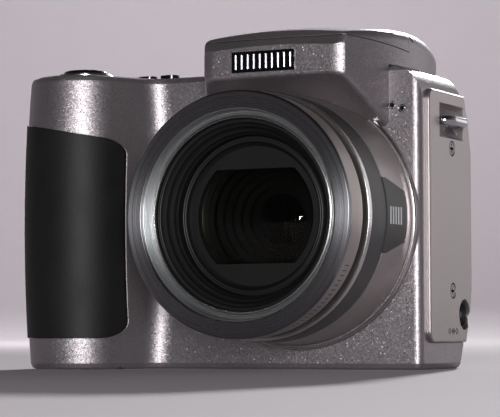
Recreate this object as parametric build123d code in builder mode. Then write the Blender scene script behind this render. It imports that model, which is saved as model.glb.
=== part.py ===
from build123d import *
import os
from math import cos, radians, sin, tan

os.makedirs("parts", exist_ok=True)

# Bridge camera, millimetres. X points to the viewer's right when the lens is faced, the lens looks
# along -Y, +Z is up. The origin is the mouth of the tripod socket, under the lens axis.
# A depth is measured from the front panel towards the back.

# Body
socket_depth = 16.0
side_reach = 29.8
shell_height = 68.4
body_depth = 33.8
seam_depth = 14.5
wall = 1.6
shoulder_radius = 7.5
rear_corner_radius = 6.0
rear_side_radius = 3.4
corner_bulge_radius = 100.0
corner_bulge_sink = 1.2
rim_bevel = 1.4
rim_bevel_share = 0.3
side_edge_radius = 1.8
overrun = 40.0

# Clearances
seat_gap = 0.05
run_gap = 0.10
button_gap = 0.20
lid_gap = 0.15
pin_gap = 0.05

# Grip
grip_axis_x = -53.9
grip_axis_depth = -5.0
nose_radius = 13.5
grip_swell = 1.2
flank_angle = 30.0
flank_blend = 6.0
cover_sink = 0.9
cover_proud = 0.35
cover_right_x = -40.5
cover_foot = 7.3
cover_top_right = 53.0
cover_top_left = 57.8
cover_back_depth = 12.6
cover_corner = 4.0

# Lens
lens_height = 33.84
sleeve_base_radius = 28.4
sleeve_front_radius = 27.6
sleeve_front_depth = -14.0
collar_radius = 29.3
collar_reach = 1.8
badge_front_depth = -21.9
badge_radius = 27.5
badge_tab_depth = -4.0
badge_tab_root = 16.4
badge_tab_end = 11.0
badge_tab_skin = 1.3
trim_front_depth = -23.6
trim_radius = 27.45
band_back_depth = -25.4
band_front_depth = -31.2
band_radius = 26.7
ring_front_depth = -32.3
ring_radius = 26.83
thread_radius = 23.0
thread_lead_in = 0.4
tube_front_depth = -29.4
tube_radius = 24.9
tube_bore = 21.0
tube_back_depth = 15.0
tube_back_radius = 22.6
tube_step_depth = 2.5
tube_plate = 1.6

# Zoom barrels and glass
outer_barrel_front = -28.8
outer_barrel_back = 1.0
outer_barrel_lip = 3.6
inner_barrel_radius = 17.6
inner_barrel_front = -24.0
inner_barrel_back = -3.0
inner_bore = 15.4
mask_front_depth = -22.8
mask_plate = 0.8
mask_opening_radius = 14.0
mask_flat = 10.4
front_lens_edge = 2.2
front_lens_crown = 2.6
front_lens_hollow = 1.4
baffle_steps = 5
baffle_small_radius = 5.6
baffle_depth = 8.0
baffle_wall = 1.2
rear_lens_edge = 2.4
rear_lens_crown = 1.0
rod_radius = 0.9
rod_pitch = 14.6
rod_front_depth = 4.0
carrier_radius = 11.6
carrier_front_depth = 7.0
carrier_thickness = 2.4
focus_lens_radius = 7.2
focus_lens_thickness = 3.0
sensor_width = 9.6
sensor_height = 8.4
sensor_thickness = 1.4
sensor_board_width = 26.0
sensor_board_height = 22.0
board_thickness = 1.0

# Hump with flash and finder
plate_depth = -14.0
plate_foot_drop = 2.9
plate_top_drop = 1.7
plate_half_width = 17.0
brow_depth = -12.2
undercut_drop = 13.9
evf_drop = 3.2
hump_depths = (brow_depth, 0.0, seam_depth, body_depth)
hump_half_widths = (17.8, 22.4, 23.8, 20.6)
hump_side_rises = (0.4, 2.0, 2.6, 1.4)
hump_crown_rises = (1.6, 3.5, 4.1, 3.0)
hump_nose_corner = 5.0
hump_brow_round = 1.6
hump_edge_radii = (1.8, 3.2, 4.0, 4.0)
hump_wall = 1.5
lid_front_rise = 5.8
lid_back_drop = 2.6
lid_hinge_depth = 11.5
lid_hinge_rise = 1.2
lid_hinge_radius = 2.5
hinge_pin_radius = 0.7
hinge_ear = 3.0
lid_open_angle = 60.0
window_width = 26.0
window_height = 7.6
window_top_depth = -10.4
window_top_drop = 2.3
window_thickness = 0.9
head_wall = 0.9
reflector_depth = 3.4
reflector_end = 0.8
flash_tube_radius = 0.9

# Top controls
shutter_x = -51.8
shutter_depth = -7.5
shutter_radius = 5.2
shutter_stand = 1.6
bezel_radius = 6.6
bezel_stand = 0.7
bezel_wall = 0.6
top_button_xs = (-49.6, -43.6, -37.6)
top_button_depth = 8.0
top_button_width = 3.6
top_button_length = 4.6
top_button_lip = 0.5
top_button_stand = 1.5
button_lip = 0.8
button_flange = 0.8
command_dial_x = -30.6
command_dial_depth = 24.0
command_dial_radius = 6.0
command_dial_stand = 2.6
command_dial_ribs = 30
rib_depth = 0.35
dial_stem_radius = 2.0

# Microphone
mic_spots = ((23.0, 59.2), (25.4, 58.4))
mic_radius = 0.55

# Rear controls
lcd_x = 0.5
lcd_height = 31.0
lcd_glass_width = 47.0
lcd_glass_height = 38.0
lcd_panel_width = 42.0
lcd_panel_height = 33.0
lcd_panel_thickness = 2.2
lcd_frame = 1.2
glass_thickness = 1.0
glass_corner = 2.0
mode_dial_x = -46.0
mode_dial_height = 36.0
mode_dial_radius = 11.0
mode_dial_stand = 3.2
mode_dial_ribs = 44
mode_dial_well = 6.2
mode_dial_bore = 4.6
mode_dial_flange = 7.2
joystick_radius = 2.6
joystick_stand = 4.6
joystick_cap = 2.2
joystick_stem = 1.2
joystick_heel = 2.3
gimbal_outer = 3.8
gimbal_inner = 2.7
gimbal_thickness = 1.2
trunnion_radius = 0.4
zoom_rocker_x = -50.0
zoom_rocker_height = 58.0
zoom_rocker_width = 17.0
zoom_rocker_band = 6.4
zoom_rocker_stand = 3.0
zoom_rocker_lift = 1.1
zoom_rocker_neck = 6.0
zoom_rocker_neck_band = 3.6
rocker_pin_radius = 0.5
rear_button_x = -29.6
rear_button_heights = (20.0, 29.0, 38.0)
rear_button_width = 4.6
rear_button_length = 6.4
rear_button_stand = 1.1
share_button_height = 15.5
share_button_width = 5.6
share_button_length = 11.0

# Finder
eyecup_width = 25.0
eyecup_height = 14.0
eyecup_reach = 7.0
eyecup_wall = 2.2
eyecup_corner = 5.0
eye_width = 14.0
eye_height = 8.6
eyepiece_thickness = 2.4
evf_tube_length = 14.0
evf_tube_wall = 1.0
evf_display_thickness = 2.0
evf_cavity_rise = 1.2
evf_cavity_half_width = 18.6

# Grip inside and base
cell_radius = 7.25
cell_length = 49.5
cell_nub_radius = 2.75
cell_nub = 1.0
cell_pitch = 15.4
cell_foot = 2.4
holder_wall = 1.0
holder_foot = 4.0
holder_flange_height = 30.0
holder_cap = 1.2
door_half_width = 8.9
door_back_depth = 18.4
door_corner = 2.0
door_hinge_radius = 1.1
door_hinge_lead = 3.0
door_swing_share = 1.5
door_swing_relief = 0.35
door_hinge_rise = 1.35
door_hinge_pin = 0.6
door_hinge_pin_length = 1.2
latch_length = 9.0
latch_width = 6.0
latch_travel = 2.0
latch_sink = 0.7
card_width = 24.0
card_length = 32.0
card_thickness = 2.1
card_depth = 25.2
card_height = 32.0
slot_wall = 0.8
card_door_foot = 14.0
card_door_top = 50.0
card_door_front = 16.0
card_door_back = 26.8
card_door_skin = 1.2
card_hinge_radius = 0.8
card_hinge_inset = 0.15
card_swing_share = 1.6
card_pin_length = 1.2
socket_outer_radius = 5.5
socket_radius = 2.6
socket_length = 5.5
socket_height = 6.6
socket_flange = 8.5
socket_flange_thickness = 1.5
dock_depth = 28.1
dock_width = 22.0
dock_length = 5.6
dock_height = 7.0
dock_well_width = 19.0
dock_well_length = 4.4
dock_well_sink = 5.0
dock_tongue = 1.2

# Right side
panel_stand = 1.0
panel_foot = 6.1
panel_top = 63.1
panel_front_depth = 3.2
panel_back_depth = 29.6
panel_corner = 2.5
panel_sink = 0.5
lug_height = 56.5
lug_front_depth = 10.5
lug_length = 13.0
lug_wire = 1.1
lug_stand = 2.7
lug_scoop_radius = 4.2
lug_liner = 1.0
lug_seat = 0.8
jack_depth = 24.5
jack_height = 12.4
jack_radius = 2.75
jack_case_width = 8.6
jack_case_length = 8.0
jack_case_height = 8.6
jack_wall = 0.7
side_screw_depth = 17.2
side_screw_heights = (17.8, 50.4)
screw_head_radius = 1.7
screw_head = 0.7
screw_radius = 0.9
screw_length = 4.0

# Inner works
board_left_x = -58.0
board_right_x = 26.0
board_foot = 9.0
board_top = 57.0
post_radius = 1.6
board_post_spots = ((-25.0, 53.0), (24.0, 53.0), (24.0, 12.0), (-36.0, 12.0))
base_screw_spots = ((24.0, 8.0), (-30.0, 6.0), (24.0, 26.0), (-36.0, 26.0))
base_post_height = 5.0
motor_radius = 5.0
motor_length = 12.0
motor_angle = 135.0
motor_front_depth = 3.6
motor_collar_radius = 2.0
motor_collar = 0.8
capacitor_radius = 4.3
capacitor_length = 30.0
capacitor_x = -37.0
capacitor_depth = 12.0

# Derived sizes
body_base = 0.0
lid_front_height = shell_height + lid_front_rise
lid_back_height = lid_front_height - lid_back_drop
lid_hinge_height = lid_front_height + lid_hinge_rise
window_top_height = lid_front_height - window_top_drop
plate_foot = shell_height - plate_foot_drop
plate_top = lid_front_height - plate_top_drop
undercut_foot = shell_height - undercut_drop
evf_height = shell_height - evf_drop
evf_cavity_top = shell_height + evf_cavity_rise
top_inside = shell_height - wall
back_inside = body_depth - wall
band_inner = tube_radius + seat_gap
outer_barrel_radius = tube_bore - run_gap
outer_bore = inner_barrel_radius + run_gap
rest_nose = nose_radius - grip_swell
grip_reach = nose_radius - grip_axis_x


def level(height):
    """Plane seen from above: local x across, local y is the depth."""
    return Plane((0, -socket_depth, height), x_dir=(1, 0, 0), z_dir=(0, 0, 1))


def facing(depth):
    """Plane seen from the front: local x across, local y is the height."""
    return Plane((0, depth - socket_depth, 0), x_dir=(1, 0, 0), z_dir=(0, -1, 0))


def lens_face(depth):
    """Plane square to the lens axis and centred on it."""
    return Plane((0, depth - socket_depth, lens_height), x_dir=(1, 0, 0), z_dir=(0, -1, 0))


def beside(x):
    """Plane seen from the right: local x is the depth, local y is the height."""
    return Plane((x, -socket_depth, 0), x_dir=(0, 1, 0), z_dir=(1, 0, 0))


lens_half = Plane((0, -socket_depth, lens_height), x_dir=(0, 1, 0), z_dir=(1, 0, 0))
lens_axis = Axis((0, 0, lens_height), (0, 1, 0))


def lens_ring(front, back, outer, inner, mode=Mode.ADD):
    """Plain ring about the lens axis between two depths."""
    with BuildSketch(lens_face(back)) as ring:
        Circle(outer)
        if inner > 0:
            Circle(inner, mode=Mode.SUBTRACT)
    extrude(ring.sketch, amount=back - front, mode=mode)


def turned(points, mode=Mode.ADD):
    """Ring turned about the lens axis from (depth, radius) corners."""
    with BuildSketch(lens_half) as half:
        with BuildLine():
            Polyline(*points, close=True)
        make_face()
    revolve(half.sketch, axis=lens_axis, mode=mode)


def block(left, right, front, back, foot, top, mode=Mode.ADD):
    """Square block between named sides."""
    with BuildSketch(level(foot)) as base:
        with Locations(((left + right) / 2, (front + back) / 2)):
            Rectangle(right - left, back - front)
    extrude(base.sketch, amount=top - foot, mode=mode)


def body_outline(height, swell, inset):
    """Outline of the body from above, with the nose of the grip in front."""
    nose = rest_nose + swell - inset
    back = body_depth - inset
    right = side_reach - inset
    slope = radians(flank_angle)
    nose_left = (grip_axis_x - nose, grip_axis_depth)
    nose_tip = (grip_axis_x, grip_axis_depth - nose)
    flank_x = grip_axis_x + nose * cos(slope)
    flank_depth = grip_axis_depth - nose * sin(slope)
    foot = (flank_x + (inset - flank_depth) * tan(slope), inset)
    with BuildSketch(level(height)) as outline:
        with BuildLine():
            ThreePointArc(nose_left, nose_tip, (flank_x, flank_depth))
            Polyline((flank_x, flank_depth), foot, (right, inset), (right, back),
                     (grip_axis_x - nose, back), nose_left)
        make_face()
        fillet(outline.vertices().sort_by_distance(foot)[0], flank_blend + inset)
        fillet(outline.vertices().sort_by_distance((right, inset))[0], side_edge_radius - inset)
        fillet(outline.vertices().sort_by_distance((right, back))[0], rear_side_radius - inset)
        fillet(outline.vertices().sort_by_distance((grip_axis_x - nose, back))[0],
               rear_corner_radius - inset)
    return outline.sketch


def swelling_body(inset, foot, top):
    """Body form: straight walls, with the grip swelling at half height."""
    loft([body_outline(foot, 0, inset), body_outline((foot + top) / 2, grip_swell, inset),
          body_outline(top, 0, inset)])


def rim_steps(edge, way):
    """Rounded rim at the top or the foot, in two slanting steps."""
    small = rim_bevel * rim_bevel_share
    steps = [body_outline(edge - way * rim_bevel, 0, 0), body_outline(edge - way * small, 0, small),
             body_outline(edge, 0, rim_bevel)]
    loft(steps, ruled=True)


def push_button(plane, width, length, stand, reach, lip):
    """Button that slides in its wall: cap, stem and a flange behind the wall."""
    with BuildSketch(plane.offset(-reach)) as stem:
        SlotOverall(length, width)
    extrude(stem.sketch, amount=reach + stand)
    with BuildSketch(plane.offset(-reach)) as flange:
        SlotOverall(length + 2 * lip, width + 2 * lip)
    extrude(flange.sketch, amount=button_flange)


def button_hole(plane, width, length):
    """Hole through one wall for a button."""
    with BuildSketch(plane.offset(wall)) as hole:
        SlotOverall(length + 2 * button_gap, width + 2 * button_gap)
    extrude(hole.sketch, amount=-3 * wall, mode=Mode.SUBTRACT)


def ribbed_disc(plane, radius, ribs, thickness):
    """Disc with half-round ribs pressed into its rim."""
    with BuildSketch(plane) as disc:
        Circle(radius)
        with PolarLocations(radius, ribs):
            RegularPolygon(rib_depth, 4, mode=Mode.SUBTRACT)
    extrude(disc.sketch, amount=thickness - rib_depth)
    with BuildSketch(plane.offset(thickness - rib_depth)) as crown:
        Circle(radius - 2 * rib_depth)
    extrude(crown.sketch, amount=rib_depth)


def corner_bulge(inset):
    """Cuts the rear right corner with a wide arc, so that it falls away towards the top and the foot."""
    slant = 2 ** 0.5
    corner = (side_reach + body_depth) / slant
    middle = corner - corner_bulge_sink - corner_bulge_radius
    round_plane = Plane((0, -socket_depth, (body_base + shell_height) / 2), x_dir=(1, 1, 0), z_dir=(1, -1, 0))
    with BuildSketch(round_plane.offset(-3 * overrun)) as bulge:
        with Locations((middle, 0)):
            Circle(corner_bulge_radius - inset)
        with Locations((middle - corner_bulge_radius, 0)):
            Rectangle(2 * corner_bulge_radius, 4 * overrun)
    extrude(bulge.sketch, amount=6 * overrun, mode=Mode.INTERSECT)


# Whole outer form of the two shells, cut apart at the seam further down
with BuildPart() as body_form:
    swelling_body(0, rim_bevel, shell_height - rim_bevel)
    rim_steps(body_base, -1)
    rim_steps(shell_height, 1)
    with BuildSketch(facing(body_depth + overrun)):
        with Locations((side_reach, shell_height)):
            Rectangle(2 * shoulder_radius, 2 * shoulder_radius)
        with Locations((side_reach - shoulder_radius, shell_height - shoulder_radius)):
            Circle(shoulder_radius, mode=Mode.SUBTRACT)
    extrude(amount=2 * overrun + body_depth, mode=Mode.SUBTRACT)
    corner_bulge(0)

# Space inside the shells
with BuildPart() as body_space:
    extrude(body_outline(wall, 0, wall), amount=top_inside - wall)
    with BuildSketch(facing(body_depth + overrun)):
        with Locations((side_reach, shell_height)):
            Rectangle(2 * shoulder_radius, 2 * shoulder_radius)
        with Locations((side_reach - shoulder_radius, shell_height - shoulder_radius)):
            Circle(shoulder_radius - wall, mode=Mode.SUBTRACT)
    extrude(amount=2 * overrun + body_depth, mode=Mode.SUBTRACT)
    corner_bulge(wall)


def hump_section(depth, half_width, foot, side_height, crown, edge_radius):
    """Cross section of the hump: upright sides under a shallow crown."""
    with BuildSketch(facing(depth)) as section_sketch:
        with BuildLine():
            Polyline((-half_width, side_height), (-half_width, foot), (half_width, foot),
                     (half_width, side_height))
            ThreePointArc((half_width, side_height), (0, crown), (-half_width, side_height))
        make_face()
        upper = section_sketch.vertices().group_by(Axis.Y)[-1]
        fillet(upper, edge_radius)
    return section_sketch.sketch


# Hump over the lens: flash in front, electronic finder behind
with BuildPart() as hump_form:
    sections = []
    for depth, half_width, side_rise, crown_rise, edge_radius in zip(
            hump_depths, hump_half_widths, hump_side_rises, hump_crown_rises, hump_edge_radii):
        sections.append(hump_section(depth, half_width, undercut_foot, lid_front_height + side_rise,
                                     lid_front_height + crown_rise, edge_radius))
    loft(sections)
    nose_section = hump_section(plate_depth, plate_half_width, undercut_foot,
                                plate_top - hump_edge_radii[0] / 2, plate_top, hump_edge_radii[0])
    loft([nose_section, sections[0]], ruled=True)
    nose_half = plate_half_width + hump_edge_radii[0] / 2
    waist_half = hump_half_widths[1] + hump_edge_radii[0] / 2
    with BuildSketch(level(shell_height - overrun)) as plan:
        with BuildLine():
            Polyline((-nose_half, plate_depth), (-waist_half, 0), (-3 * waist_half, body_depth + overrun),
                     (3 * waist_half, body_depth + overrun), (waist_half, 0), (nose_half, plate_depth),
                     close=True)
        make_face()
        fillet(plan.vertices().group_by(Axis.Y)[0], hump_nose_corner)
    extrude(plan.sketch, amount=2 * overrun, mode=Mode.INTERSECT)

# Everything above the slanting line between the flash lid and the housing
lid_slope = (lid_back_height - lid_front_height) / (seam_depth - plate_depth)


def lid_line(depth, drop):
    """Height of the lid's lower edge at a depth."""
    return lid_front_height + lid_slope * (depth - plate_depth) - drop


def lid_wedge(drop, back, mode):
    """Block above the lid line, drawn from the side and as wide as the hump."""
    with BuildSketch(beside(-overrun)) as wedge:
        with BuildLine():
            Polyline((plate_depth - overrun, lid_line(plate_depth - overrun, drop)),
                     (back, lid_line(back, drop)), (back, shell_height + overrun),
                     (plate_depth - overrun, shell_height + overrun), close=True)
        make_face()
    extrude(wedge.sketch, amount=2 * overrun, mode=mode)


def hinge_barrel(radius, mode):
    """Round end of the lid about its hinge."""
    with BuildSketch(beside(-overrun)) as barrel:
        with Locations((lid_hinge_depth, lid_hinge_height)):
            Circle(radius)
    extrude(barrel.sketch, amount=2 * overrun, mode=mode)


# Window plane of the flash: slants back under the lid and faces forward when the lid is up
window_slope = radians(90 - lid_open_angle)
window_centre_depth = window_top_depth + window_height / 2 * cos(window_slope)
window_centre_height = window_top_height - window_height / 2 * sin(window_slope)
window_plane = Plane((0, window_centre_depth - socket_depth, window_centre_height),
                     x_dir=(1, 0, 0), z_dir=(0, sin(window_slope), cos(window_slope)))

with BuildPart() as flash_lid:
    lid_wedge(0, lid_hinge_depth, Mode.ADD)
    hinge_barrel(lid_hinge_radius, Mode.ADD)
    with BuildSketch(window_plane):
        Rectangle(window_width + 2 * head_wall, window_height + 2 * head_wall)
    extrude(amount=window_thickness + reflector_depth + 2 * head_wall)
    add(hump_form.part, mode=Mode.INTERSECT)
    with BuildSketch(window_plane):
        Rectangle(window_width + 2 * seat_gap, window_height + 2 * seat_gap)
    extrude(amount=window_thickness + reflector_depth + seat_gap, mode=Mode.SUBTRACT)
    for end in (-1, 1):
        with BuildSketch(beside(end * (hump_half_widths[2] - hinge_ear))):
            with Locations((lid_hinge_depth, lid_hinge_height)):
                Circle(lid_hinge_radius + lid_gap)
            with Locations((lid_hinge_depth, (lid_hinge_height + shell_height) / 2)):
                Rectangle(2 * (lid_hinge_radius + lid_gap), lid_hinge_height - shell_height)
        extrude(amount=end * overrun, mode=Mode.SUBTRACT)
    hinge_barrel(hinge_pin_radius + pin_gap, Mode.SUBTRACT)

with BuildPart() as flash_window:
    with BuildSketch(window_plane):
        Rectangle(window_width, window_height)
    extrude(amount=window_thickness)

with BuildPart() as flash_reflector:
    with BuildSketch(window_plane.offset(window_thickness + seat_gap)):
        Rectangle(window_width, window_height)
    extrude(amount=reflector_depth - seat_gap)
    trough = window_width - 2 * reflector_end
    trough_plane = Plane(window_plane.origin - window_plane.x_dir * trough / 2,
                         x_dir=window_plane.y_dir, z_dir=window_plane.x_dir)
    with BuildSketch(trough_plane):
        with Locations((0, window_thickness)):
            Ellipse(window_height / 2 - reflector_end, reflector_depth - reflector_end)
    extrude(amount=trough, mode=Mode.SUBTRACT)
    tube_plane = Plane(window_plane.origin - window_plane.x_dir * window_width / 2,
                       x_dir=window_plane.y_dir, z_dir=window_plane.x_dir)
    tube_lift = window_thickness + reflector_depth / 2 - reflector_end / 2
    with BuildSketch(tube_plane):
        with Locations((0, tube_lift)):
            Circle(flash_tube_radius + pin_gap)
    extrude(amount=window_width, mode=Mode.SUBTRACT)

with BuildPart() as flash_tube:
    with BuildSketch(tube_plane):
        with Locations((0, tube_lift)):
            Circle(flash_tube_radius)
    extrude(amount=window_width)

pin_reach = hump_half_widths[2] - hinge_ear / 2
with BuildPart() as flash_hinge_pin:
    with BuildSketch(beside(-pin_reach)):
        with Locations((lid_hinge_depth, lid_hinge_height)):
            Circle(hinge_pin_radius)
    extrude(amount=2 * pin_reach)


def sleeve_cone(grow, mode):
    """Tapering outside of the fixed lens sleeve."""
    turned([(sleeve_front_depth - seat_gap, 0), (sleeve_front_depth - seat_gap, sleeve_front_radius + grow),
            (0, sleeve_base_radius + grow), (seat_gap, sleeve_base_radius + grow), (seat_gap, 0)], mode)


flash_pocket_half = window_width / 2 + head_wall + lid_gap * 4
pocket_front = brow_depth + hump_wall / 2
pocket_back = lid_hinge_depth - 2 * lid_hinge_radius

# Ears of the top housing that hold the pin at the two ends of the lid
with BuildPart() as hinge_ears:
    for end in (-1, 1):
        with BuildSketch(beside(end * (hump_half_widths[2] - hinge_ear + lid_gap))):
            with Locations((lid_hinge_depth, lid_hinge_height)):
                Circle(lid_hinge_radius)
            with Locations((lid_hinge_depth, (lid_hinge_height + shell_height) / 2)):
                Rectangle(2 * lid_hinge_radius, lid_hinge_height - shell_height)
        extrude(amount=end * hinge_ear)
    add(hump_form.part, mode=Mode.INTERSECT)

# Front half of the hump with its undercut over the lens, rounded along the brow
with BuildPart() as brow_form:
    add(hump_form.part)
    split(bisect_by=facing(seam_depth), keep=Keep.TOP)
    with BuildSketch(beside(-overrun)):
        with BuildLine():
            Polyline((plate_depth - wall, plate_foot), (plate_depth, plate_foot), (0, undercut_foot),
                     (0, shell_height), (seam_depth, shell_height), (seam_depth + overrun, shell_height),
                     (seam_depth + overrun, -overrun), (plate_depth - wall, -overrun), close=True)
        make_face()
    extrude(amount=2 * overrun, mode=Mode.SUBTRACT)
    undercut = brow_form.faces().filter_by(lambda face: face.normal_at().Z < -0.3
                                           and face.normal_at().Y < -0.3).sort_by(SortBy.AREA)[-1]
    brow_edges = undercut.edges().filter_by(lambda edge: edge.center().Y + socket_depth < -wall / 2)
    fillet(brow_edges, hump_brow_round)

with BuildPart() as top_housing:
    add(brow_form.part)
    lid_wedge(lid_gap, lid_hinge_depth, Mode.SUBTRACT)
    hinge_barrel(lid_hinge_radius + lid_gap, Mode.SUBTRACT)
    block(-overrun, overrun, lid_hinge_depth - lid_gap, seam_depth + lid_gap, lid_hinge_height,
          shell_height + overrun, Mode.SUBTRACT)
    block(-flash_pocket_half, flash_pocket_half, pocket_front, pocket_back, shell_height,
          shell_height + overrun, Mode.SUBTRACT)
    with BuildSketch(beside(-flash_pocket_half)):
        with BuildLine():
            Polyline((pocket_front, shell_height), (pocket_front, plate_foot),
                     (-wall, plate_foot - 2 * wall), (-wall, shell_height), close=True)
        make_face()
    extrude(amount=2 * flash_pocket_half, mode=Mode.SUBTRACT)
    add(hinge_ears.part)
    hinge_barrel(hinge_pin_radius + pin_gap, Mode.SUBTRACT)
    sleeve_cone(seat_gap, Mode.SUBTRACT)
    lens_ring(-collar_reach - seat_gap, overrun, collar_radius + seat_gap, 0, Mode.SUBTRACT)

# Fixed lens barrel, from the body forward
with BuildPart() as lens_sleeve:
    sleeve_cone(0, Mode.ADD)
    lens_ring(sleeve_front_depth - overrun, overrun, band_inner, 0, Mode.SUBTRACT)
    with BuildSketch(beside(0)):
        with BuildLine():
            Polyline((sleeve_front_depth - overrun, lens_height + badge_tab_root / 2 + seat_gap),
                     (sleeve_front_depth + wall, lens_height + badge_tab_root / 2 + seat_gap),
                     (badge_tab_depth + seat_gap, lens_height + badge_tab_end / 2 + seat_gap),
                     (badge_tab_depth + seat_gap, lens_height - badge_tab_end / 2 - seat_gap),
                     (sleeve_front_depth + wall, lens_height - badge_tab_root / 2 - seat_gap),
                     (sleeve_front_depth - overrun, lens_height - badge_tab_root / 2 - seat_gap), close=True)
        make_face()
    extrude(amount=overrun, mode=Mode.SUBTRACT)
    lens_ring(sleeve_front_depth, seat_gap, sleeve_front_radius - badge_tab_skin, band_inner)

with BuildPart() as badge_ring:
    sleeve_cone(run_gap, Mode.ADD)
    lens_ring(sleeve_front_depth - overrun, overrun, sleeve_front_radius - badge_tab_skin + seat_gap, 0,
              Mode.SUBTRACT)
    with BuildSketch(beside(0)) as tab:
        with BuildLine():
            Polyline((sleeve_front_depth - wall, lens_height + badge_tab_root / 2),
                     (sleeve_front_depth + wall, lens_height + badge_tab_root / 2),
                     (badge_tab_depth, lens_height + badge_tab_end / 2),
                     (badge_tab_depth, lens_height - badge_tab_end / 2),
                     (sleeve_front_depth + wall, lens_height - badge_tab_root / 2),
                     (sleeve_front_depth - wall, lens_height - badge_tab_root / 2), close=True)
        make_face()
        fillet(tab.vertices().group_by(Axis.X)[-1], 2 * wall)
    extrude(amount=overrun, mode=Mode.INTERSECT)
    lens_ring(badge_front_depth, sleeve_front_depth - seat_gap, badge_radius, band_inner)

with BuildPart() as trim_ring:
    turned([(badge_front_depth - seat_gap, band_inner), (badge_front_depth - seat_gap, trim_radius),
            (trim_front_depth + run_gap, trim_radius), (trim_front_depth, trim_radius - run_gap),
            (trim_front_depth, band_inner)])

with BuildPart() as barrel_band:
    lens_ring(band_front_depth + seat_gap, band_back_depth, band_radius, band_inner)
    chamfer(barrel_band.edges().filter_by(GeomType.CIRCLE).sort_by(SortBy.RADIUS)[-2:], run_gap)

with BuildPart() as front_ring:
    turned([(ring_front_depth + thread_lead_in, ring_radius), (ring_front_depth,
                                                               ring_radius - thread_lead_in),
            (ring_front_depth, thread_radius + thread_lead_in), (ring_front_depth + thread_lead_in,
                                                                 thread_radius),
            (tube_front_depth - seat_gap, thread_radius), (tube_front_depth - seat_gap, tube_radius),
            (band_front_depth, tube_radius), (band_front_depth, ring_radius)])

with BuildPart() as lens_tube:
    turned([(tube_front_depth, tube_bore), (tube_front_depth, tube_radius), (tube_step_depth, tube_radius),
            (tube_step_depth, tube_back_radius), (tube_back_depth, tube_back_radius),
            (tube_back_depth, sensor_width), (tube_back_depth - tube_plate, sensor_width),
            (tube_back_depth - tube_plate, tube_bore)])
    with BuildSketch(lens_face(tube_back_depth)):
        with Locations((rod_pitch, 0), (-rod_pitch, 0)):
            Circle(rod_radius + seat_gap)
    extrude(amount=tube_plate, mode=Mode.SUBTRACT)

# Telescoping barrels
with BuildPart() as zoom_barrel_outer:
    turned([(outer_barrel_front, outer_barrel_radius - run_gap), (outer_barrel_front + run_gap,
                                                                  outer_barrel_radius),
            (outer_barrel_back, outer_barrel_radius), (outer_barrel_back, outer_bore),
            (outer_barrel_front + outer_barrel_lip, outer_bore),
            (outer_barrel_front, outer_barrel_radius - wall / 2)])

mask_back_depth = mask_front_depth + mask_plate
glass_front_depth = mask_back_depth + front_lens_crown + seat_gap
glass_back_depth = glass_front_depth + front_lens_edge
with BuildPart() as zoom_barrel_inner:
    turned([(inner_barrel_front, inner_barrel_radius - run_gap * 4), (inner_barrel_front + run_gap * 4,
                                                                      inner_barrel_radius),
            (inner_barrel_back, inner_barrel_radius), (inner_barrel_back, inner_bore - wall),
            (glass_back_depth + seat_gap, inner_bore - wall), (glass_back_depth + seat_gap, inner_bore),
            (mask_front_depth, inner_bore), (inner_barrel_front, inner_bore + wall / 2)])

with BuildPart() as lens_mask:
    lens_ring(mask_front_depth, mask_back_depth, inner_bore - seat_gap, 0)
    with BuildSketch(lens_face(mask_back_depth)):
        Circle(mask_opening_radius)
        Rectangle(2 * mask_opening_radius, 2 * mask_flat, mode=Mode.INTERSECT)
    extrude(amount=mask_plate, mode=Mode.SUBTRACT)
    lens_ring(mask_back_depth, glass_front_depth - seat_gap, inner_bore - seat_gap,
              inner_bore - front_lens_crown / 4)


def dome_point(foot, rise, rim):
    """Point half way out on a dome that rises forward from its rim."""
    dome = (rim ** 2 + rise ** 2) / (2 * rise)
    drop = dome - (dome ** 2 - (rim / 2) ** 2) ** 0.5
    return (foot - rise + drop, rim / 2)


def lens_glass(front, back, radius, front_crown, back_hollow):
    """Glass element: domed front, hollow or domed back."""
    rim = radius - front_crown / 4
    with BuildSketch(lens_half) as glass:
        with BuildLine():
            ThreePointArc((front - front_crown, 0), dome_point(front, front_crown, rim), (front, rim))
            Polyline((front, rim), (front, radius), (back, radius), (back, rim))
            if back_hollow > 0:
                ThreePointArc((back, rim), dome_point(back, back_hollow, rim), (back - back_hollow, 0))
            else:
                Line((back, rim), (back, 0))
            Line((back - back_hollow, 0), (front - front_crown, 0))
        make_face()
    revolve(glass.sketch, axis=lens_axis)


with BuildPart() as front_lens:
    lens_glass(glass_front_depth, glass_back_depth, inner_bore - seat_gap, front_lens_crown,
               front_lens_hollow)

baffle_front = glass_back_depth + 3 * seat_gap
baffle_outer = inner_bore - wall - seat_gap
with BuildPart() as lens_baffle:
    step_back = baffle_depth / baffle_steps
    step_in = (baffle_outer - baffle_wall - baffle_small_radius) / baffle_steps
    stairs = [(baffle_front, baffle_outer)]
    for step in range(baffle_steps):
        radius = baffle_outer - baffle_wall - step * step_in
        stairs.append((baffle_front + step * step_back, radius))
        stairs.append((baffle_front + (step + 1) * step_back, radius))
    stairs.append((baffle_front + baffle_depth, baffle_small_radius))
    stairs.append((baffle_front + baffle_depth + rear_lens_edge, baffle_small_radius))
    stairs.append((baffle_front + baffle_depth + rear_lens_edge, baffle_outer))
    turned(stairs)

with BuildPart() as rear_lens:
    rear_front = baffle_front + baffle_depth
    lens_glass(rear_front, rear_front + rear_lens_edge - seat_gap, baffle_small_radius - seat_gap,
               rear_lens_crown, 0)

# Focus group on its two rods, behind the barrels
with BuildPart() as guide_rods:
    with BuildSketch(lens_face(tube_back_depth)):
        with Locations((rod_pitch, 0), (-rod_pitch, 0)):
            Circle(rod_radius)
    extrude(amount=tube_back_depth - rod_front_depth)

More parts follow.
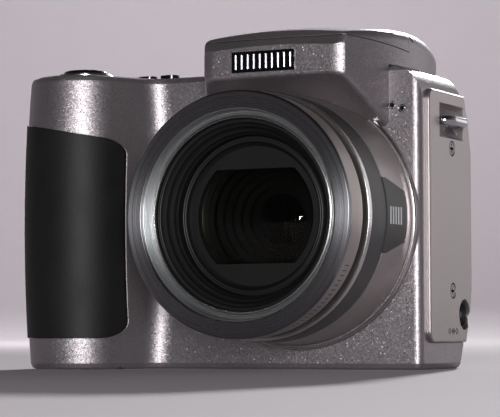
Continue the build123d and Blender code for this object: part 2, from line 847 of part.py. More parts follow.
with BuildPart() as focus_carrier:
    lens_ring(carrier_front_depth, carrier_front_depth + carrier_thickness, carrier_radius, 0)
    with BuildSketch(lens_face(carrier_front_depth + carrier_thickness)):
        with Locations((rod_pitch, 0), (-rod_pitch, 0)):
            Circle(rod_radius + wall)
        Rectangle(2 * rod_pitch, 2 * rod_radius + wall)
        with Locations((rod_pitch, 0), (-rod_pitch, 0)):
            Circle(rod_radius + pin_gap, mode=Mode.SUBTRACT)
    extrude(amount=carrier_thickness)
    lens_ring(carrier_front_depth - overrun, carrier_front_depth + overrun, focus_lens_radius + seat_gap,
              0, Mode.SUBTRACT)

with BuildPart() as focus_lens:
    focus_back = carrier_front_depth + carrier_thickness
    lens_glass(focus_back - focus_lens_thickness, focus_back, focus_lens_radius, rear_lens_crown / 2, 0)

# Sensor and its board on the back of the lens tube
with BuildPart() as image_sensor:
    with BuildSketch(lens_face(tube_back_depth - seat_gap)):
        Rectangle(sensor_width, sensor_height)
    extrude(amount=sensor_thickness)

with BuildPart() as sensor_board:
    with BuildSketch(lens_face(tube_back_depth + board_thickness)):
        Rectangle(sensor_board_width, sensor_board_height)
        with GridLocations(sensor_board_width - 2 * wall, sensor_board_height - 2 * wall, 2, 2):
            Circle(screw_radius, mode=Mode.SUBTRACT)
    extrude(amount=board_thickness)


def cover_window(grow):
    """Outline of the rubber cover seen from the front, carried back round the grip's side."""
    with BuildSketch(facing(cover_back_depth + grow)) as window:
        with BuildLine():
            Polyline((-grip_reach - overrun, cover_foot - grow), (cover_right_x + grow, cover_foot - grow),
                     (cover_right_x + grow, cover_top_right + grow),
                     (-grip_reach - overrun, cover_top_left + grow + cover_rise), close=True)
        make_face()
        right_corners = window.vertices().group_by(Axis.X)[-1]
        fillet(right_corners, cover_corner)
    extrude(window.sketch, amount=overrun + cover_back_depth, mode=Mode.INTERSECT)


cover_slope = (cover_top_left - cover_top_right) / (grip_reach + cover_right_x)
cover_rise = cover_slope * overrun

with BuildPart() as cover_core:
    swelling_body(cover_sink, body_base, shell_height)

with BuildPart() as cover_bed:
    swelling_body(cover_sink + seat_gap, body_base, shell_height)

with BuildPart() as grip_cover:
    swelling_body(-cover_proud, body_base, shell_height)
    cover_window(0)
    add(cover_core.part, mode=Mode.SUBTRACT)

with BuildPart() as cover_pocket:
    swelling_body(-wall, body_base, shell_height)
    cover_window(seat_gap)
    add(cover_bed.part, mode=Mode.SUBTRACT)


def rear(depth):
    """Plane seen from behind: local x runs to the left of the front view, local y is the height."""
    return Plane((0, depth - socket_depth, 0), x_dir=(-1, 0, 0), z_dir=(0, 1, 0))


def spot(plane, across, up):
    """The same plane with its origin moved within it."""
    return Plane(plane.from_local_coords((across, up, 0)), x_dir=plane.x_dir, z_dir=plane.z_dir)


def solid_round(plane, radius, reach, mode=Mode.ADD):
    """Round bar or hole from a plane along its normal."""
    with BuildSketch(plane) as disc:
        Circle(radius)
    extrude(disc.sketch, amount=reach, mode=mode)


def solid_plate(plane, width, height, corner, reach, mode=Mode.ADD):
    """Plate or pocket with rounded corners, from a plane along its normal."""
    with BuildSketch(plane) as plate:
        RectangleRounded(width, height, corner)
    extrude(plate.sketch, amount=reach, mode=mode)


# Places of the controls
top_face = level(shell_height)
rear_face = rear(body_depth)
shutter_spot = spot(top_face, shutter_x, shutter_depth)
top_button_spots = [spot(top_face, x, top_button_depth) for x in top_button_xs]
command_spot = spot(top_face, command_dial_x, command_dial_depth)
rear_button_spots = [spot(rear_face, -rear_button_x, height) for height in rear_button_heights]
share_spot = spot(rear_face, -mode_dial_x, share_button_height)
mode_spot = spot(rear_face, -mode_dial_x, mode_dial_height)
rocker_spot = spot(rear_face, -zoom_rocker_x, zoom_rocker_height)
rocker_pin_half = zoom_rocker_neck_band / 2 + rocker_pin_radius
rocker_pin_foot = spot(level(zoom_rocker_height - rocker_pin_half), zoom_rocker_x, body_depth - wall / 2)
lcd_spot = spot(rear_face, -lcd_x, lcd_height)
eye_spot = spot(rear_face, 0, evf_height)
button_reach = wall + lid_gap + button_flange
bezel_neck = shutter_radius + button_gap + bezel_wall
door_right_x = grip_axis_x + door_half_width
hinge_x = door_right_x + door_hinge_radius
hinge_swing = door_swing_share * door_hinge_rise + lid_gap
hinge_front = grip_axis_depth - door_hinge_lead
hinge_back = door_back_depth
grip_side_x = -grip_reach + grip_swell
card_hinge_x = grip_side_x + card_hinge_inset
card_hinge_depth = card_door_back - card_hinge_radius
card_swing = card_swing_share * (card_hinge_inset + grip_swell) + lid_gap
lug_back_depth = lug_front_depth + lug_length
board_back = back_inside - lcd_panel_thickness - 2 * seat_gap
joystick_pivot = board_back + gimbal_thickness
door_pin_front = hinge_front - run_gap - door_hinge_pin_length
door_pin_back = hinge_back + run_gap + door_hinge_pin_length


def depth_bar(x, height, front, back, radius, mode=Mode.ADD):
    """Round bar or hole that runs from front to back."""
    with BuildSketch(facing(back)) as disc:
        with Locations((x, height)):
            Circle(radius)
    extrude(disc.sketch, amount=back - front, mode=mode)


def cross_bar(left, right, depth, height, radius, mode=Mode.ADD):
    """Round bar or hole that runs across the body."""
    with BuildSketch(beside(left)) as disc:
        with Locations((depth, height)):
            Circle(radius)
    extrude(disc.sketch, amount=right - left, mode=mode)


def battery_door_outline(grow):
    """Battery door from above: round in front like the grip, square behind."""
    half = door_half_width + grow
    with BuildSketch(level(0)) as outline:
        with BuildLine():
            ThreePointArc((grip_axis_x - half, grip_axis_depth), (grip_axis_x, grip_axis_depth - half),
                          (grip_axis_x + half, grip_axis_depth))
            Polyline((grip_axis_x + half, grip_axis_depth), (grip_axis_x + half, door_back_depth + grow),
                     (grip_axis_x - half, door_back_depth + grow), (grip_axis_x - half, grip_axis_depth))
        make_face()
        fillet(outline.vertices().group_by(Axis.Y)[-1].sort_by(Axis.X)[0], door_corner)
    return outline.sketch


def battery_hatch():
    """Opening for the battery door, its hinge groove and the holes of its pivots."""
    opening = battery_door_outline(run_gap)
    extrude(opening, amount=wall, both=True, mode=Mode.SUBTRACT)
    extrude(opening.moved(Location((door_swing_relief, 0, 0))), amount=wall, both=True, mode=Mode.SUBTRACT)
    depth_bar(hinge_x, door_hinge_rise, hinge_front - run_gap, hinge_back + run_gap, hinge_swing,
              Mode.SUBTRACT)
    depth_bar(hinge_x, door_hinge_rise, door_pin_front - run_gap, door_pin_back + run_gap,
              door_hinge_pin + pin_gap, Mode.SUBTRACT)


def hinge_boss(front, back):
    """Block on the floor that carries a pivot of the battery door."""
    rise = door_hinge_rise + 2 * door_hinge_radius
    block(hinge_x - hinge_swing, hinge_x + hinge_swing, front, back, wall - seat_gap, rise)


def side_panel_plate(x, grow, reach, mode):
    """Outline of the side panel, from a plane to the right."""
    with BuildSketch(beside(x)) as plate:
        with Locations(((panel_front_depth + panel_back_depth) / 2, (panel_foot + panel_top) / 2)):
            RectangleRounded(panel_back_depth - panel_front_depth + 2 * grow,
                             panel_top - panel_foot + 2 * grow,
                             panel_corner + grow)
    extrude(plate.sketch, amount=reach, mode=mode)


right_lug_x = side_reach + panel_stand + lug_stand - lug_wire
left_lug_x = grip_side_x - grip_swell - lug_stand + lug_wire


def lug_scoops(radius, overlap, mode):
    """Hollows behind the two strap lugs, or the liners round them."""
    for x in (right_lug_x, left_lug_x):
        depth_bar(x, lug_height, lug_front_depth - lug_wire - overlap, lug_back_depth + lug_wire + overlap,
                  radius, mode)


def lug_legs(radius, mode):
    """Holes for the legs of the lugs."""
    for x, way in ((right_lug_x, -1), (left_lug_x, 1)):
        for depth in (lug_front_depth + lug_wire, lug_back_depth - lug_wire):
            inner = x + way * (lug_scoop_radius + lug_seat)
            cross_bar(x, inner, depth, lug_height, radius, mode)


def lug_staple(x, way):
    """Round wire bent like a staple, with both legs in the shells."""
    inner = x + way * (lug_scoop_radius + lug_seat)
    front = lug_front_depth + lug_wire
    back = lug_back_depth - lug_wire
    with BuildLine(level(lug_height)) as path:
        FilletPolyline((inner, front), (x, front), (x, back), (inner, back), radius=2 * lug_wire)
    with BuildSketch(beside(inner)) as wire:
        with Locations((front, lug_height)):
            Circle(lug_wire)
    sweep(wire.sketch, path=path.wires()[0])


def shell_fittings(front, back):
    """Inner fittings that both shells share, cut to the shell between two depths."""
    with BuildPart(mode=Mode.PRIVATE) as fittings:
        lug_scoops(lug_scoop_radius + lug_liner, lug_liner, Mode.ADD)
        hinge_boss(door_pin_front - wall, hinge_front - run_gap)
        hinge_boss(hinge_back + run_gap, door_pin_back + wall)
        for x, depth in base_screw_spots:
            solid_round(spot(level(wall - seat_gap), x, depth), post_radius + wall / 2, base_post_height)
        for height in side_screw_heights:
            cross_bar(side_reach - screw_length - wall, side_reach - wall / 2, side_screw_depth, height,
                      post_radius + wall / 2)
        add(body_form.part, mode=Mode.INTERSECT)
        block(-overrun * 2, overrun * 2, front, back, -overrun, 2 * overrun, Mode.INTERSECT)
    return fittings.part


def screw_holes():
    """Holes of the base and side screws and of the tripod socket."""
    solid_round(spot(level(-wall), 0, socket_depth), socket_outer_radius + seat_gap, 3 * wall, Mode.SUBTRACT)
    for x, depth in base_screw_spots:
        solid_round(spot(level(0), x, depth), screw_head_radius + run_gap, screw_head, Mode.SUBTRACT)
        solid_round(spot(level(0), x, depth), screw_radius + pin_gap, screw_length + run_gap, Mode.SUBTRACT)
    for height in side_screw_heights:
        cross_bar(side_reach - screw_length - run_gap, side_reach + panel_stand, side_screw_depth, height,
                  screw_radius + pin_gap, Mode.SUBTRACT)


front_fittings = shell_fittings(-overrun, seam_depth)
rear_fittings = shell_fittings(seam_depth, body_depth)

with BuildPart() as front_shell:
    add(body_form.part)
    split(bisect_by=facing(seam_depth), keep=Keep.TOP)
    add(body_space.part, mode=Mode.SUBTRACT)
    add(front_fittings)
    turned([(-collar_reach, sleeve_front_radius), (-collar_reach, collar_radius - run_gap * 4),
            (0, collar_radius), (wall, collar_radius), (wall, sleeve_front_radius)])
    sleeve_cone(seat_gap, Mode.SUBTRACT)
    lens_ring(-overrun, overrun, band_inner, 0, Mode.SUBTRACT)
    add(cover_pocket.part, mode=Mode.SUBTRACT)
    battery_hatch()
    screw_holes()
    lug_scoops(lug_scoop_radius, 0, Mode.SUBTRACT)
    lug_legs(lug_wire + seat_gap, Mode.SUBTRACT)
    side_panel_plate(side_reach - panel_sink, seat_gap, overrun, Mode.SUBTRACT)
    for x, height in mic_spots:
        solid_round(spot(facing(-wall), x, height), mic_radius, -3 * wall, Mode.SUBTRACT)
    solid_round(shutter_spot, bezel_neck + seat_gap, -2 * wall, Mode.SUBTRACT)
    for place in top_button_spots:
        button_hole(place, top_button_width, top_button_length)

with BuildPart() as rear_hump:
    add(hump_form.part)
    block(-overrun, overrun, seam_depth, body_depth, top_inside, 2 * shell_height, Mode.INTERSECT)

with BuildPart() as rear_shell:
    add(body_form.part)
    split(bisect_by=facing(seam_depth), keep=Keep.BOTTOM)
    add(body_space.part, mode=Mode.SUBTRACT)
    add(rear_fittings)
    add(rear_hump.part)
    block(-evf_cavity_half_width, evf_cavity_half_width, seam_depth, back_inside, top_inside - wall,
          evf_cavity_top, Mode.SUBTRACT)
    for across, height in board_post_spots:
        solid_round(spot(rear(board_back + seat_gap), -across, height), post_radius,
                    back_inside - board_back)
    solid_plate(spot(rear(body_depth - evf_tube_length - wall), 0, evf_height),
                eye_width + 4 * evf_tube_wall, eye_height + 3 * evf_tube_wall, evf_tube_wall,
                evf_tube_length)
    solid_plate(spot(rear(body_depth - evf_tube_length - 2 * wall), 0, evf_height),
                eye_width + evf_tube_wall, eye_height, evf_tube_wall, evf_tube_length + wall,
                Mode.SUBTRACT)
    solid_plate(eye_spot.offset(-wall), eye_width + 2 * seat_gap, eye_height + 2 * seat_gap, glass_corner,
                2 * wall, Mode.SUBTRACT)
    solid_plate(lcd_spot, lcd_glass_width + 2 * seat_gap, lcd_glass_height + 2 * seat_gap, glass_corner,
                -glass_thickness - seat_gap, Mode.SUBTRACT)
    solid_plate(lcd_spot, lcd_panel_width - 2 * lcd_frame, lcd_panel_height - 2 * lcd_frame, glass_corner,
                -2 * wall, Mode.SUBTRACT)
    solid_round(mode_spot, mode_dial_well + run_gap, -2 * wall, Mode.SUBTRACT)
    solid_plate(rocker_spot, zoom_rocker_neck + 4 * button_gap, zoom_rocker_neck_band + 2 * button_gap,
                wall / 2, -2 * wall, Mode.SUBTRACT)
    solid_round(rocker_pin_foot.offset(-run_gap), rocker_pin_radius + pin_gap,
                2 * (rocker_pin_half + run_gap), Mode.SUBTRACT)
    for place in rear_button_spots:
        button_hole(place, rear_button_width, rear_button_length)
    button_hole(share_spot, share_button_width, share_button_length)
    solid_round(command_spot, dial_stem_radius + run_gap, -2 * wall, Mode.SUBTRACT)
    battery_hatch()
    screw_holes()
    lug_scoops(lug_scoop_radius, 0, Mode.SUBTRACT)
    lug_legs(lug_wire + seat_gap, Mode.SUBTRACT)
    side_panel_plate(side_reach - panel_sink, seat_gap, overrun, Mode.SUBTRACT)
    cross_bar(side_reach - 2 * wall, side_reach + wall, jack_depth, jack_height,
              jack_radius + jack_wall + seat_gap, Mode.SUBTRACT)
    solid_plate(spot(level(-wall), 0, dock_depth), dock_width + 2 * seat_gap, dock_length + 2 * seat_gap,
                glass_corner, 3 * wall, Mode.SUBTRACT)
    block(-grip_reach - overrun, grip_side_x + 2 * wall, card_door_front - run_gap, card_door_back + run_gap,
          card_door_foot - run_gap, card_door_top + run_gap, Mode.SUBTRACT)
    for foot, top, radius in ((card_door_foot - run_gap, card_door_top + run_gap, card_swing),
                              (card_door_foot - card_pin_length - run_gap,
                               card_door_top + card_pin_length + run_gap,
                               door_hinge_pin + pin_gap)):
        solid_round(spot(level(foot), card_hinge_x, card_hinge_depth), radius, top - foot, Mode.SUBTRACT)

# Right side panel with its screws, strap lugs and power jack
with BuildPart() as side_panel:
    side_panel_plate(side_reach - panel_sink + seat_gap, 0, panel_sink + panel_stand - seat_gap, Mode.ADD)
    chamfer(side_panel.faces().sort_by(Axis.X)[-1].edges(), panel_sink / 2)
    corner_bulge(0)
    depth_bar(right_lug_x, lug_height, lug_front_depth - lug_wire, lug_back_depth + lug_wire,
              lug_scoop_radius, Mode.SUBTRACT)
    for height in side_screw_heights:
        cross_bar(side_reach - overrun, side_reach + overrun, side_screw_depth, height,
                  screw_radius + pin_gap, Mode.SUBTRACT)
        cross_bar(side_reach + panel_stand - screw_head, side_reach + overrun, side_screw_depth, height,
                  screw_head_radius + run_gap, Mode.SUBTRACT)
    cross_bar(side_reach - overrun, side_reach + overrun, jack_depth, jack_height,
              jack_radius + jack_wall + seat_gap, Mode.SUBTRACT)

with BuildPart() as strap_lugs:
    lug_staple(right_lug_x, -1)
    lug_staple(left_lug_x, 1)

with BuildPart() as jack_case:
    block(side_reach - wall - seat_gap - jack_case_length, side_reach - wall - seat_gap,
          jack_depth - jack_case_width / 2, jack_depth + jack_case_width / 2,
          jack_height - jack_case_height / 2, jack_height + jack_case_height / 2)
    corner_bulge(wall + seat_gap)

with BuildPart() as dc_jack:
    jack_face = side_reach + panel_stand - screw_head
    cross_bar(side_reach - wall, jack_face, jack_depth, jack_height, jack_radius + jack_wall)
    add(jack_case.part)
    cross_bar(side_reach - wall - seat_gap, side_reach, jack_depth, jack_height, jack_radius + jack_wall)
    cross_bar(side_reach - jack_case_length, side_reach + overrun, jack_depth, jack_height, jack_radius,
              Mode.SUBTRACT)
    cross_bar(side_reach - jack_case_length - jack_wall, side_reach, jack_depth, jack_height, jack_wall)

with BuildPart() as case_screws:
    for x, depth in base_screw_spots:
        solid_round(spot(level(pin_gap), x, depth), screw_head_radius, screw_head - 2 * pin_gap)
        solid_round(spot(level(pin_gap), x, depth), screw_radius, screw_length)
    for height in side_screw_heights:
        head_face = side_reach + panel_stand
        cross_bar(head_face - screw_head + pin_gap, head_face - pin_gap, side_screw_depth, height,
                  screw_head_radius)
        cross_bar(side_reach - screw_length, head_face - pin_gap, side_screw_depth, height, screw_radius)

# Screen and finder
with BuildPart() as lcd_glass:
    solid_plate(lcd_spot, lcd_glass_width, lcd_glass_height, glass_corner, -glass_thickness)

with BuildPart() as lcd_panel:
    solid_plate(lcd_spot.offset(-wall - seat_gap), lcd_panel_width, lcd_panel_height, glass_corner / 2,
                -lcd_panel_thickness)

with BuildPart() as eyecup:
    solid_plate(eye_spot, eyecup_width, eyecup_height, eyecup_corner, eyecup_reach)
    fillet(eyecup.faces().sort_by(Axis.Y)[-1].edges(), eyecup_wall / 2)
    solid_plate(eye_spot, eye_width + eyecup_wall, eye_height, eyecup_wall, eyecup_reach, Mode.SUBTRACT)

with BuildPart() as eyepiece_lens:
    solid_plate(eye_spot.offset(-wall), eye_width, eye_height, glass_corner, eyepiece_thickness)

with BuildPart() as evf_display:
    evf_front = body_depth - evf_tube_length - wall - seat_gap
    solid_plate(spot(rear(evf_front - evf_display_thickness), 0, evf_height), eye_width + 2 * evf_tube_wall,
                eye_height, evf_tube_wall / 2, evf_display_thickness)

# Controls on the back
with BuildPart() as mode_dial:
    ribbed_disc(mode_spot.offset(lid_gap), mode_dial_radius, mode_dial_ribs, mode_dial_stand - lid_gap)
    solid_round(mode_spot.offset(lid_gap), mode_dial_well, -wall - 2 * lid_gap - button_flange)
    solid_round(mode_spot.offset(-wall - lid_gap), mode_dial_flange, -button_flange)
    solid_round(mode_spot.offset(mode_dial_stand), mode_dial_bore, -overrun, Mode.SUBTRACT)

trunnion_reach = mode_dial_bore - 1.5 * run_gap
with BuildPart() as joystick:
    pivot_plane = spot(rear(joystick_pivot), -mode_dial_x, mode_dial_height)
    solid_round(spot(level(mode_dial_height - gimbal_outer + run_gap), mode_dial_x, joystick_pivot),
                trunnion_radius, 2 * (gimbal_outer - run_gap))
    solid_round(pivot_plane.offset(-gimbal_thickness / 2), joystick_heel, gimbal_thickness)
    solid_round(pivot_plane, joystick_stem, body_depth + joystick_stand - joystick_pivot)
    solid_round(mode_spot.offset(joystick_stand), joystick_radius, -joystick_cap)
    fillet(joystick.edges().group_by(Axis.Y)[-1], joystick_cap / 3)

with BuildPart() as joystick_gimbal:
    solid_round(pivot_plane.offset(-gimbal_thickness / 2), gimbal_outer, gimbal_thickness)
    cross_bar(mode_dial_x - trunnion_reach, mode_dial_x + trunnion_reach, joystick_pivot, mode_dial_height,
              trunnion_radius)
    solid_round(pivot_plane.offset(-gimbal_thickness), gimbal_inner, 2 * gimbal_thickness, Mode.SUBTRACT)
    solid_round(spot(level(mode_dial_height - overrun), mode_dial_x, joystick_pivot),
                trunnion_radius + pin_gap, 2 * overrun, Mode.SUBTRACT)

with BuildPart() as zoom_rocker:
    solid_plate(rocker_spot.offset(zoom_rocker_lift), zoom_rocker_width, zoom_rocker_band,
                zoom_rocker_band / 2 - run_gap, zoom_rocker_stand - zoom_rocker_lift)
    chamfer(zoom_rocker.faces().sort_by(Axis.Y)[-1].edges(), button_lip / 2)
    solid_plate(rocker_spot.offset(zoom_rocker_lift), zoom_rocker_neck, zoom_rocker_neck_band, wall / 2,
                -zoom_rocker_lift - wall - button_flange - lid_gap * 3)
    solid_plate(rocker_spot.offset(-wall - lid_gap * 3), zoom_rocker_neck + 2 * button_lip,
                zoom_rocker_neck_band + 2 * button_lip, wall / 2, -button_flange)
    solid_round(rocker_pin_foot, rocker_pin_radius, 2 * rocker_pin_half)

rear_buttons = []
for place in rear_button_spots:
    with BuildPart() as rear_button:
        push_button(place, rear_button_width, rear_button_length, rear_button_stand, button_reach,
                    button_lip)
    rear_buttons.append(rear_button)

with BuildPart() as share_button:
    push_button(share_spot, share_button_width, share_button_length, rear_button_stand, button_reach,
                button_lip)

# Controls on the top
with BuildPart() as shutter_bezel:
    solid_round(shutter_spot, bezel_radius, bezel_stand)
    chamfer(shutter_bezel.edges().group_by(Axis.Z)[-1], bezel_stand / 2)
    solid_round(shutter_spot, bezel_neck, -wall - bezel_stand)
    solid_round(shutter_spot.offset(bezel_stand), shutter_radius + button_gap, -overrun, Mode.SUBTRACT)

with BuildPart() as shutter_button:
    lip_top = wall + bezel_stand + lid_gap
    solid_round(shutter_spot.offset(shutter_stand), shutter_radius, -shutter_stand - lip_top - button_flange)
    fillet(shutter_button.edges().group_by(Axis.Z)[-1], shutter_stand / 2)
    solid_round(shutter_spot.offset(-lip_top), shutter_radius + button_gap + bezel_wall, -button_flange)

top_buttons = []
for place in top_button_spots:
    with BuildPart() as top_button:
        push_button(place, top_button_width, top_button_length, top_button_stand, button_reach,
                    top_button_lip)
    top_buttons.append(top_button)

with BuildPart() as command_dial:
    ribbed_disc(command_spot.offset(lid_gap), command_dial_radius, command_dial_ribs,
                command_dial_stand - lid_gap)
    solid_round(command_spot.offset(lid_gap), dial_stem_radius, -wall - 2 * lid_gap - button_flange)
    solid_round(command_spot.offset(-wall - lid_gap), dial_stem_radius + button_lip, -button_flange)

# Battery bay
cell_spots = ((grip_axis_x, grip_axis_depth), (grip_axis_x, grip_axis_depth + cell_pitch))
cell_top = cell_foot + cell_length + cell_nub


def cell_pair(plane_height, radius, reach, mode=Mode.ADD):
    """Two round bars or bores on the axes of the cells."""
    for x, depth in cell_spots:
        solid_round(spot(level(plane_height), x, depth), radius, reach, mode)


with BuildPart() as battery_cells:
    cell_pair(cell_foot, cell_radius, cell_length)
    cell_pair(cell_foot + cell_length, cell_nub_radius, cell_nub)

with BuildPart() as battery_holder:
    holder_radius = cell_radius + button_gap + holder_wall
    holder_top = cell_top + button_gap + holder_cap
    cell_pair(holder_foot, holder_radius, holder_top - holder_foot)
    block(grip_axis_x - holder_radius / 2, grip_axis_x + holder_radius / 2, grip_axis_depth,
          grip_axis_depth + cell_pitch, holder_foot, holder_top)
    solid_round(spot(level(holder_flange_height), grip_axis_x, grip_axis_depth),
                rest_nose - wall - run_gap, wall)
    cell_pair(holder_foot - wall, cell_radius + button_gap, cell_top + button_gap - holder_foot + wall,
              Mode.SUBTRACT)

with BuildPart() as battery_door:
    extrude(battery_door_outline(-run_gap / 2), amount=wall)
    depth_bar(hinge_x, door_hinge_rise, hinge_front, hinge_back, door_hinge_radius)
    block(door_right_x - 2 * door_hinge_radius, hinge_x, grip_axis_depth, hinge_back,
          door_hinge_rise - wall / 4, wall)
    depth_bar(hinge_x, door_hinge_rise, door_pin_front, door_pin_back, door_hinge_pin)
    latch_x = grip_axis_x - door_half_width / 2
    solid_plate(spot(level(0), latch_x + latch_travel / 2, grip_axis_depth + cell_pitch / 2),
                latch_width + latch_travel + 2 * run_gap, latch_length + 2 * run_gap, wall / 2, latch_sink,
                Mode.SUBTRACT)

with BuildPart() as battery_latch:
    solid_plate(spot(level(seat_gap), latch_x, grip_axis_depth + cell_pitch / 2), latch_width, latch_length,
                wall / 2, latch_sink - 2 * seat_gap)
    with BuildSketch(spot(level(0), latch_x, grip_axis_depth + cell_pitch / 2)):
        with GridLocations(latch_width / 4, 0, 3, 1):
            Rectangle(latch_width / 12, latch_length - 2 * wall)
    extrude(amount=latch_sink / 2, mode=Mode.SUBTRACT)

# Card slot behind its door
with BuildPart() as card_slot:
    slot_front = card_depth - card_thickness / 2 - button_gap - slot_wall
    slot_left = grip_side_x + 2 * wall + lid_gap
    block(slot_left, slot_left + card_length + slot_wall, slot_front,
          board_back - board_thickness - seat_gap,
          card_height - card_width / 2 - button_gap - slot_wall, card_height + card_width / 2 + button_gap + slot_wall)
    block(slot_left - overrun, slot_left + card_length, slot_front + slot_wall,
          slot_front + slot_wall + card_thickness + 2 * button_gap, card_height - card_width / 2 - button_gap,
          card_height + card_width / 2 + button_gap, Mode.SUBTRACT)

with BuildPart() as card_core:
    swelling_body(card_door_skin, body_base, shell_height)

with BuildPart() as card_door:
    swelling_body(0, rim_bevel, shell_height - rim_bevel)
    block(-grip_reach - overrun, grip_side_x + 2 * wall, card_door_front, card_door_back, card_door_foot,
          card_door_top, Mode.INTERSECT)
    add(card_core.part, mode=Mode.SUBTRACT)
    card_door_height = card_door_top - card_door_foot
    solid_round(spot(level(card_door_foot), card_hinge_x, card_hinge_depth), card_hinge_radius,
                card_door_height)
    solid_round(spot(level(card_door_foot - card_pin_length), card_hinge_x, card_hinge_depth),
                door_hinge_pin,
                card_door_height + 2 * card_pin_length)

# Base fittings
with BuildPart() as tripod_socket:
    solid_round(spot(level(0), 0, socket_depth), socket_outer_radius, socket_height)
    solid_round(spot(level(wall + seat_gap), 0, socket_depth), socket_flange, socket_flange_thickness)
    solid_round(spot(level(0), 0, socket_depth), socket_radius, socket_length, Mode.SUBTRACT)

with BuildPart() as dock_connector:
    dock_spot = spot(level(seat_gap), 0, dock_depth)
    solid_plate(dock_spot, dock_width, dock_length, glass_corner, dock_height)
    solid_plate(dock_spot, dock_well_width, dock_well_length, wall / 2, dock_well_sink, Mode.SUBTRACT)
    solid_plate(dock_spot.offset(dock_tongue), dock_well_width - 2 * wall, dock_tongue, dock_tongue / 3,
                dock_well_sink)

# Electronics and drive
with BuildPart() as main_board:
    with BuildSketch(rear(board_back - board_thickness)):
        with Locations((-(board_left_x + board_right_x) / 2, (board_foot + board_top) / 2)):
            Rectangle(board_right_x - board_left_x, board_top - board_foot)
    extrude(amount=board_thickness)
    for side in (-1, 1):
        near = mode_dial_x + side * (gimbal_outer + run_gap)
        far = mode_dial_x + side * trunnion_reach
        block(min(near, far), max(near, far), board_back - board_thickness / 2, joystick_pivot,
              mode_dial_height - 2 * trunnion_radius, mode_dial_height + 2 * trunnion_radius)
    cross_bar(mode_dial_x - gimbal_outer - wall, mode_dial_x + gimbal_outer + wall, joystick_pivot,
              mode_dial_height, trunnion_radius + pin_gap, Mode.SUBTRACT)

with BuildPart() as zoom_motor:
    motor_ring = tube_back_radius + motor_radius + 3 * run_gap
    motor_spot = spot(lens_face(motor_front_depth + motor_length), motor_ring * cos(radians(motor_angle)),
                      motor_ring * sin(radians(motor_angle)))
    solid_round(motor_spot, motor_radius, motor_length)
    solid_round(motor_spot.offset(motor_length), motor_collar_radius, motor_collar)

with BuildPart() as flash_capacitor:
    solid_round(spot(level(wall + seat_gap), capacitor_x, capacitor_depth), capacitor_radius,
                capacitor_length)
    chamfer(flash_capacitor.edges().group_by(Axis.Z)[-1], capacitor_radius / 8)

pieces = {
    "front_shell": front_shell,
    "rear_shell": rear_shell,
    "grip_cover": grip_cover,
    "top_housing": top_housing,
    "flash_lid": flash_lid,
    "flash_window": flash_window,
    "flash_reflector": flash_reflector,
    "flash_tube": flash_tube,
    "flash_hinge_pin": flash_hinge_pin,
    "lens_sleeve": lens_sleeve,
    "badge_ring": badge_ring,
    "trim_ring": trim_ring,
    "barrel_band": barrel_band,
    "front_ring": front_ring,
    "lens_tube": lens_tube,
    "zoom_barrel_outer": zoom_barrel_outer,
    "zoom_barrel_inner": zoom_barrel_inner,
    "lens_mask": lens_mask,
    "front_lens": front_lens,
    "lens_baffle": lens_baffle,
    "rear_lens": rear_lens,
    "guide_rods": guide_rods,
    "focus_carrier": focus_carrier,
    "focus_lens": focus_lens,
    "image_sensor": image_sensor,
    "sensor_board": sensor_board,
    "side_panel": side_panel,
    "strap_lugs": strap_lugs,
    "dc_jack": dc_jack,
    "case_screws": case_screws,
    "lcd_glass": lcd_glass,
    "lcd_panel": lcd_panel,
    "eyecup": eyecup,
    "eyepiece_lens": eyepiece_lens,
    "evf_display": evf_display,
    "mode_dial": mode_dial,
    "joystick": joystick,
    "joystick_gimbal": joystick_gimbal,
    "zoom_rocker": zoom_rocker,
    "delete_button": rear_buttons[0],
    "menu_button": rear_buttons[1],
    "review_button": rear_buttons[2],
    "share_button": share_button,
    "shutter_bezel": shutter_bezel,
    "shutter_button": shutter_button,
    "flash_button": top_buttons[0],
    "focus_button": top_buttons[1],
    "drive_button": top_buttons[2],
    "command_dial": command_dial,
    "battery_cells": battery_cells,
    "battery_holder": battery_holder,
    "battery_door": battery_door,
    "battery_latch": battery_latch,
    "card_slot": card_slot,
    "card_door": card_door,
    "tripod_socket": tripod_socket,
    "dock_connector": dock_connector,
    "main_board": main_board,
    "zoom_motor": zoom_motor,
    "flash_capacitor": flash_capacitor,
}
for name, piece in pieces.items():
    piece.part.label = name
    export_step(piece.part, "parts/" + name + ".step")
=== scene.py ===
# %% [markdown]
# # Bridge camera with a telescoping zoom
# The frame holds every rigid piece of the camera in its true place. This lesson dresses it: it gives each
# piece the finish of the real material, adds the small things that are too fine for a solid model,
# such as threads, screw recesses and printed marks, and lights the camera as on a studio table.

# %% Load the frame
import math
import bpy
import bmesh
from mathutils import Matrix, Vector


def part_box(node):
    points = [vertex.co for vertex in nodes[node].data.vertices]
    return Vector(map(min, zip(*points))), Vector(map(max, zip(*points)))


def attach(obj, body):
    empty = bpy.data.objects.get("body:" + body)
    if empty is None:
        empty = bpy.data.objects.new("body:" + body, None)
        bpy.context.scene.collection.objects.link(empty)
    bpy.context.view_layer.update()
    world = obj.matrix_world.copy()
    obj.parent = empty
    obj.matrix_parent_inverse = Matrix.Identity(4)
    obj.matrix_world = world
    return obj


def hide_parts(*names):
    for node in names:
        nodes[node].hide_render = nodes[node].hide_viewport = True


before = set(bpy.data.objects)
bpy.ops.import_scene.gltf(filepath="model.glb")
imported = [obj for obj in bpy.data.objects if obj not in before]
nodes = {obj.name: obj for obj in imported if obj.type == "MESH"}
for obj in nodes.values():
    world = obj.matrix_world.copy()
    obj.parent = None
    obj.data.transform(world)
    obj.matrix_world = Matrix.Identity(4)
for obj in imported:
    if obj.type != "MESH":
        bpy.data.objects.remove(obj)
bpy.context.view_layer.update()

MM = 0.001

# %% [markdown]
# ## Two helpers for colours and shader nodes
# Colours are written as sRGB hex, the way a paint chart gives them. Blender shades in linear light, so
# one function converts them. A second small function adds a node, sets it and links it, so that each
# material reads as a short recipe.

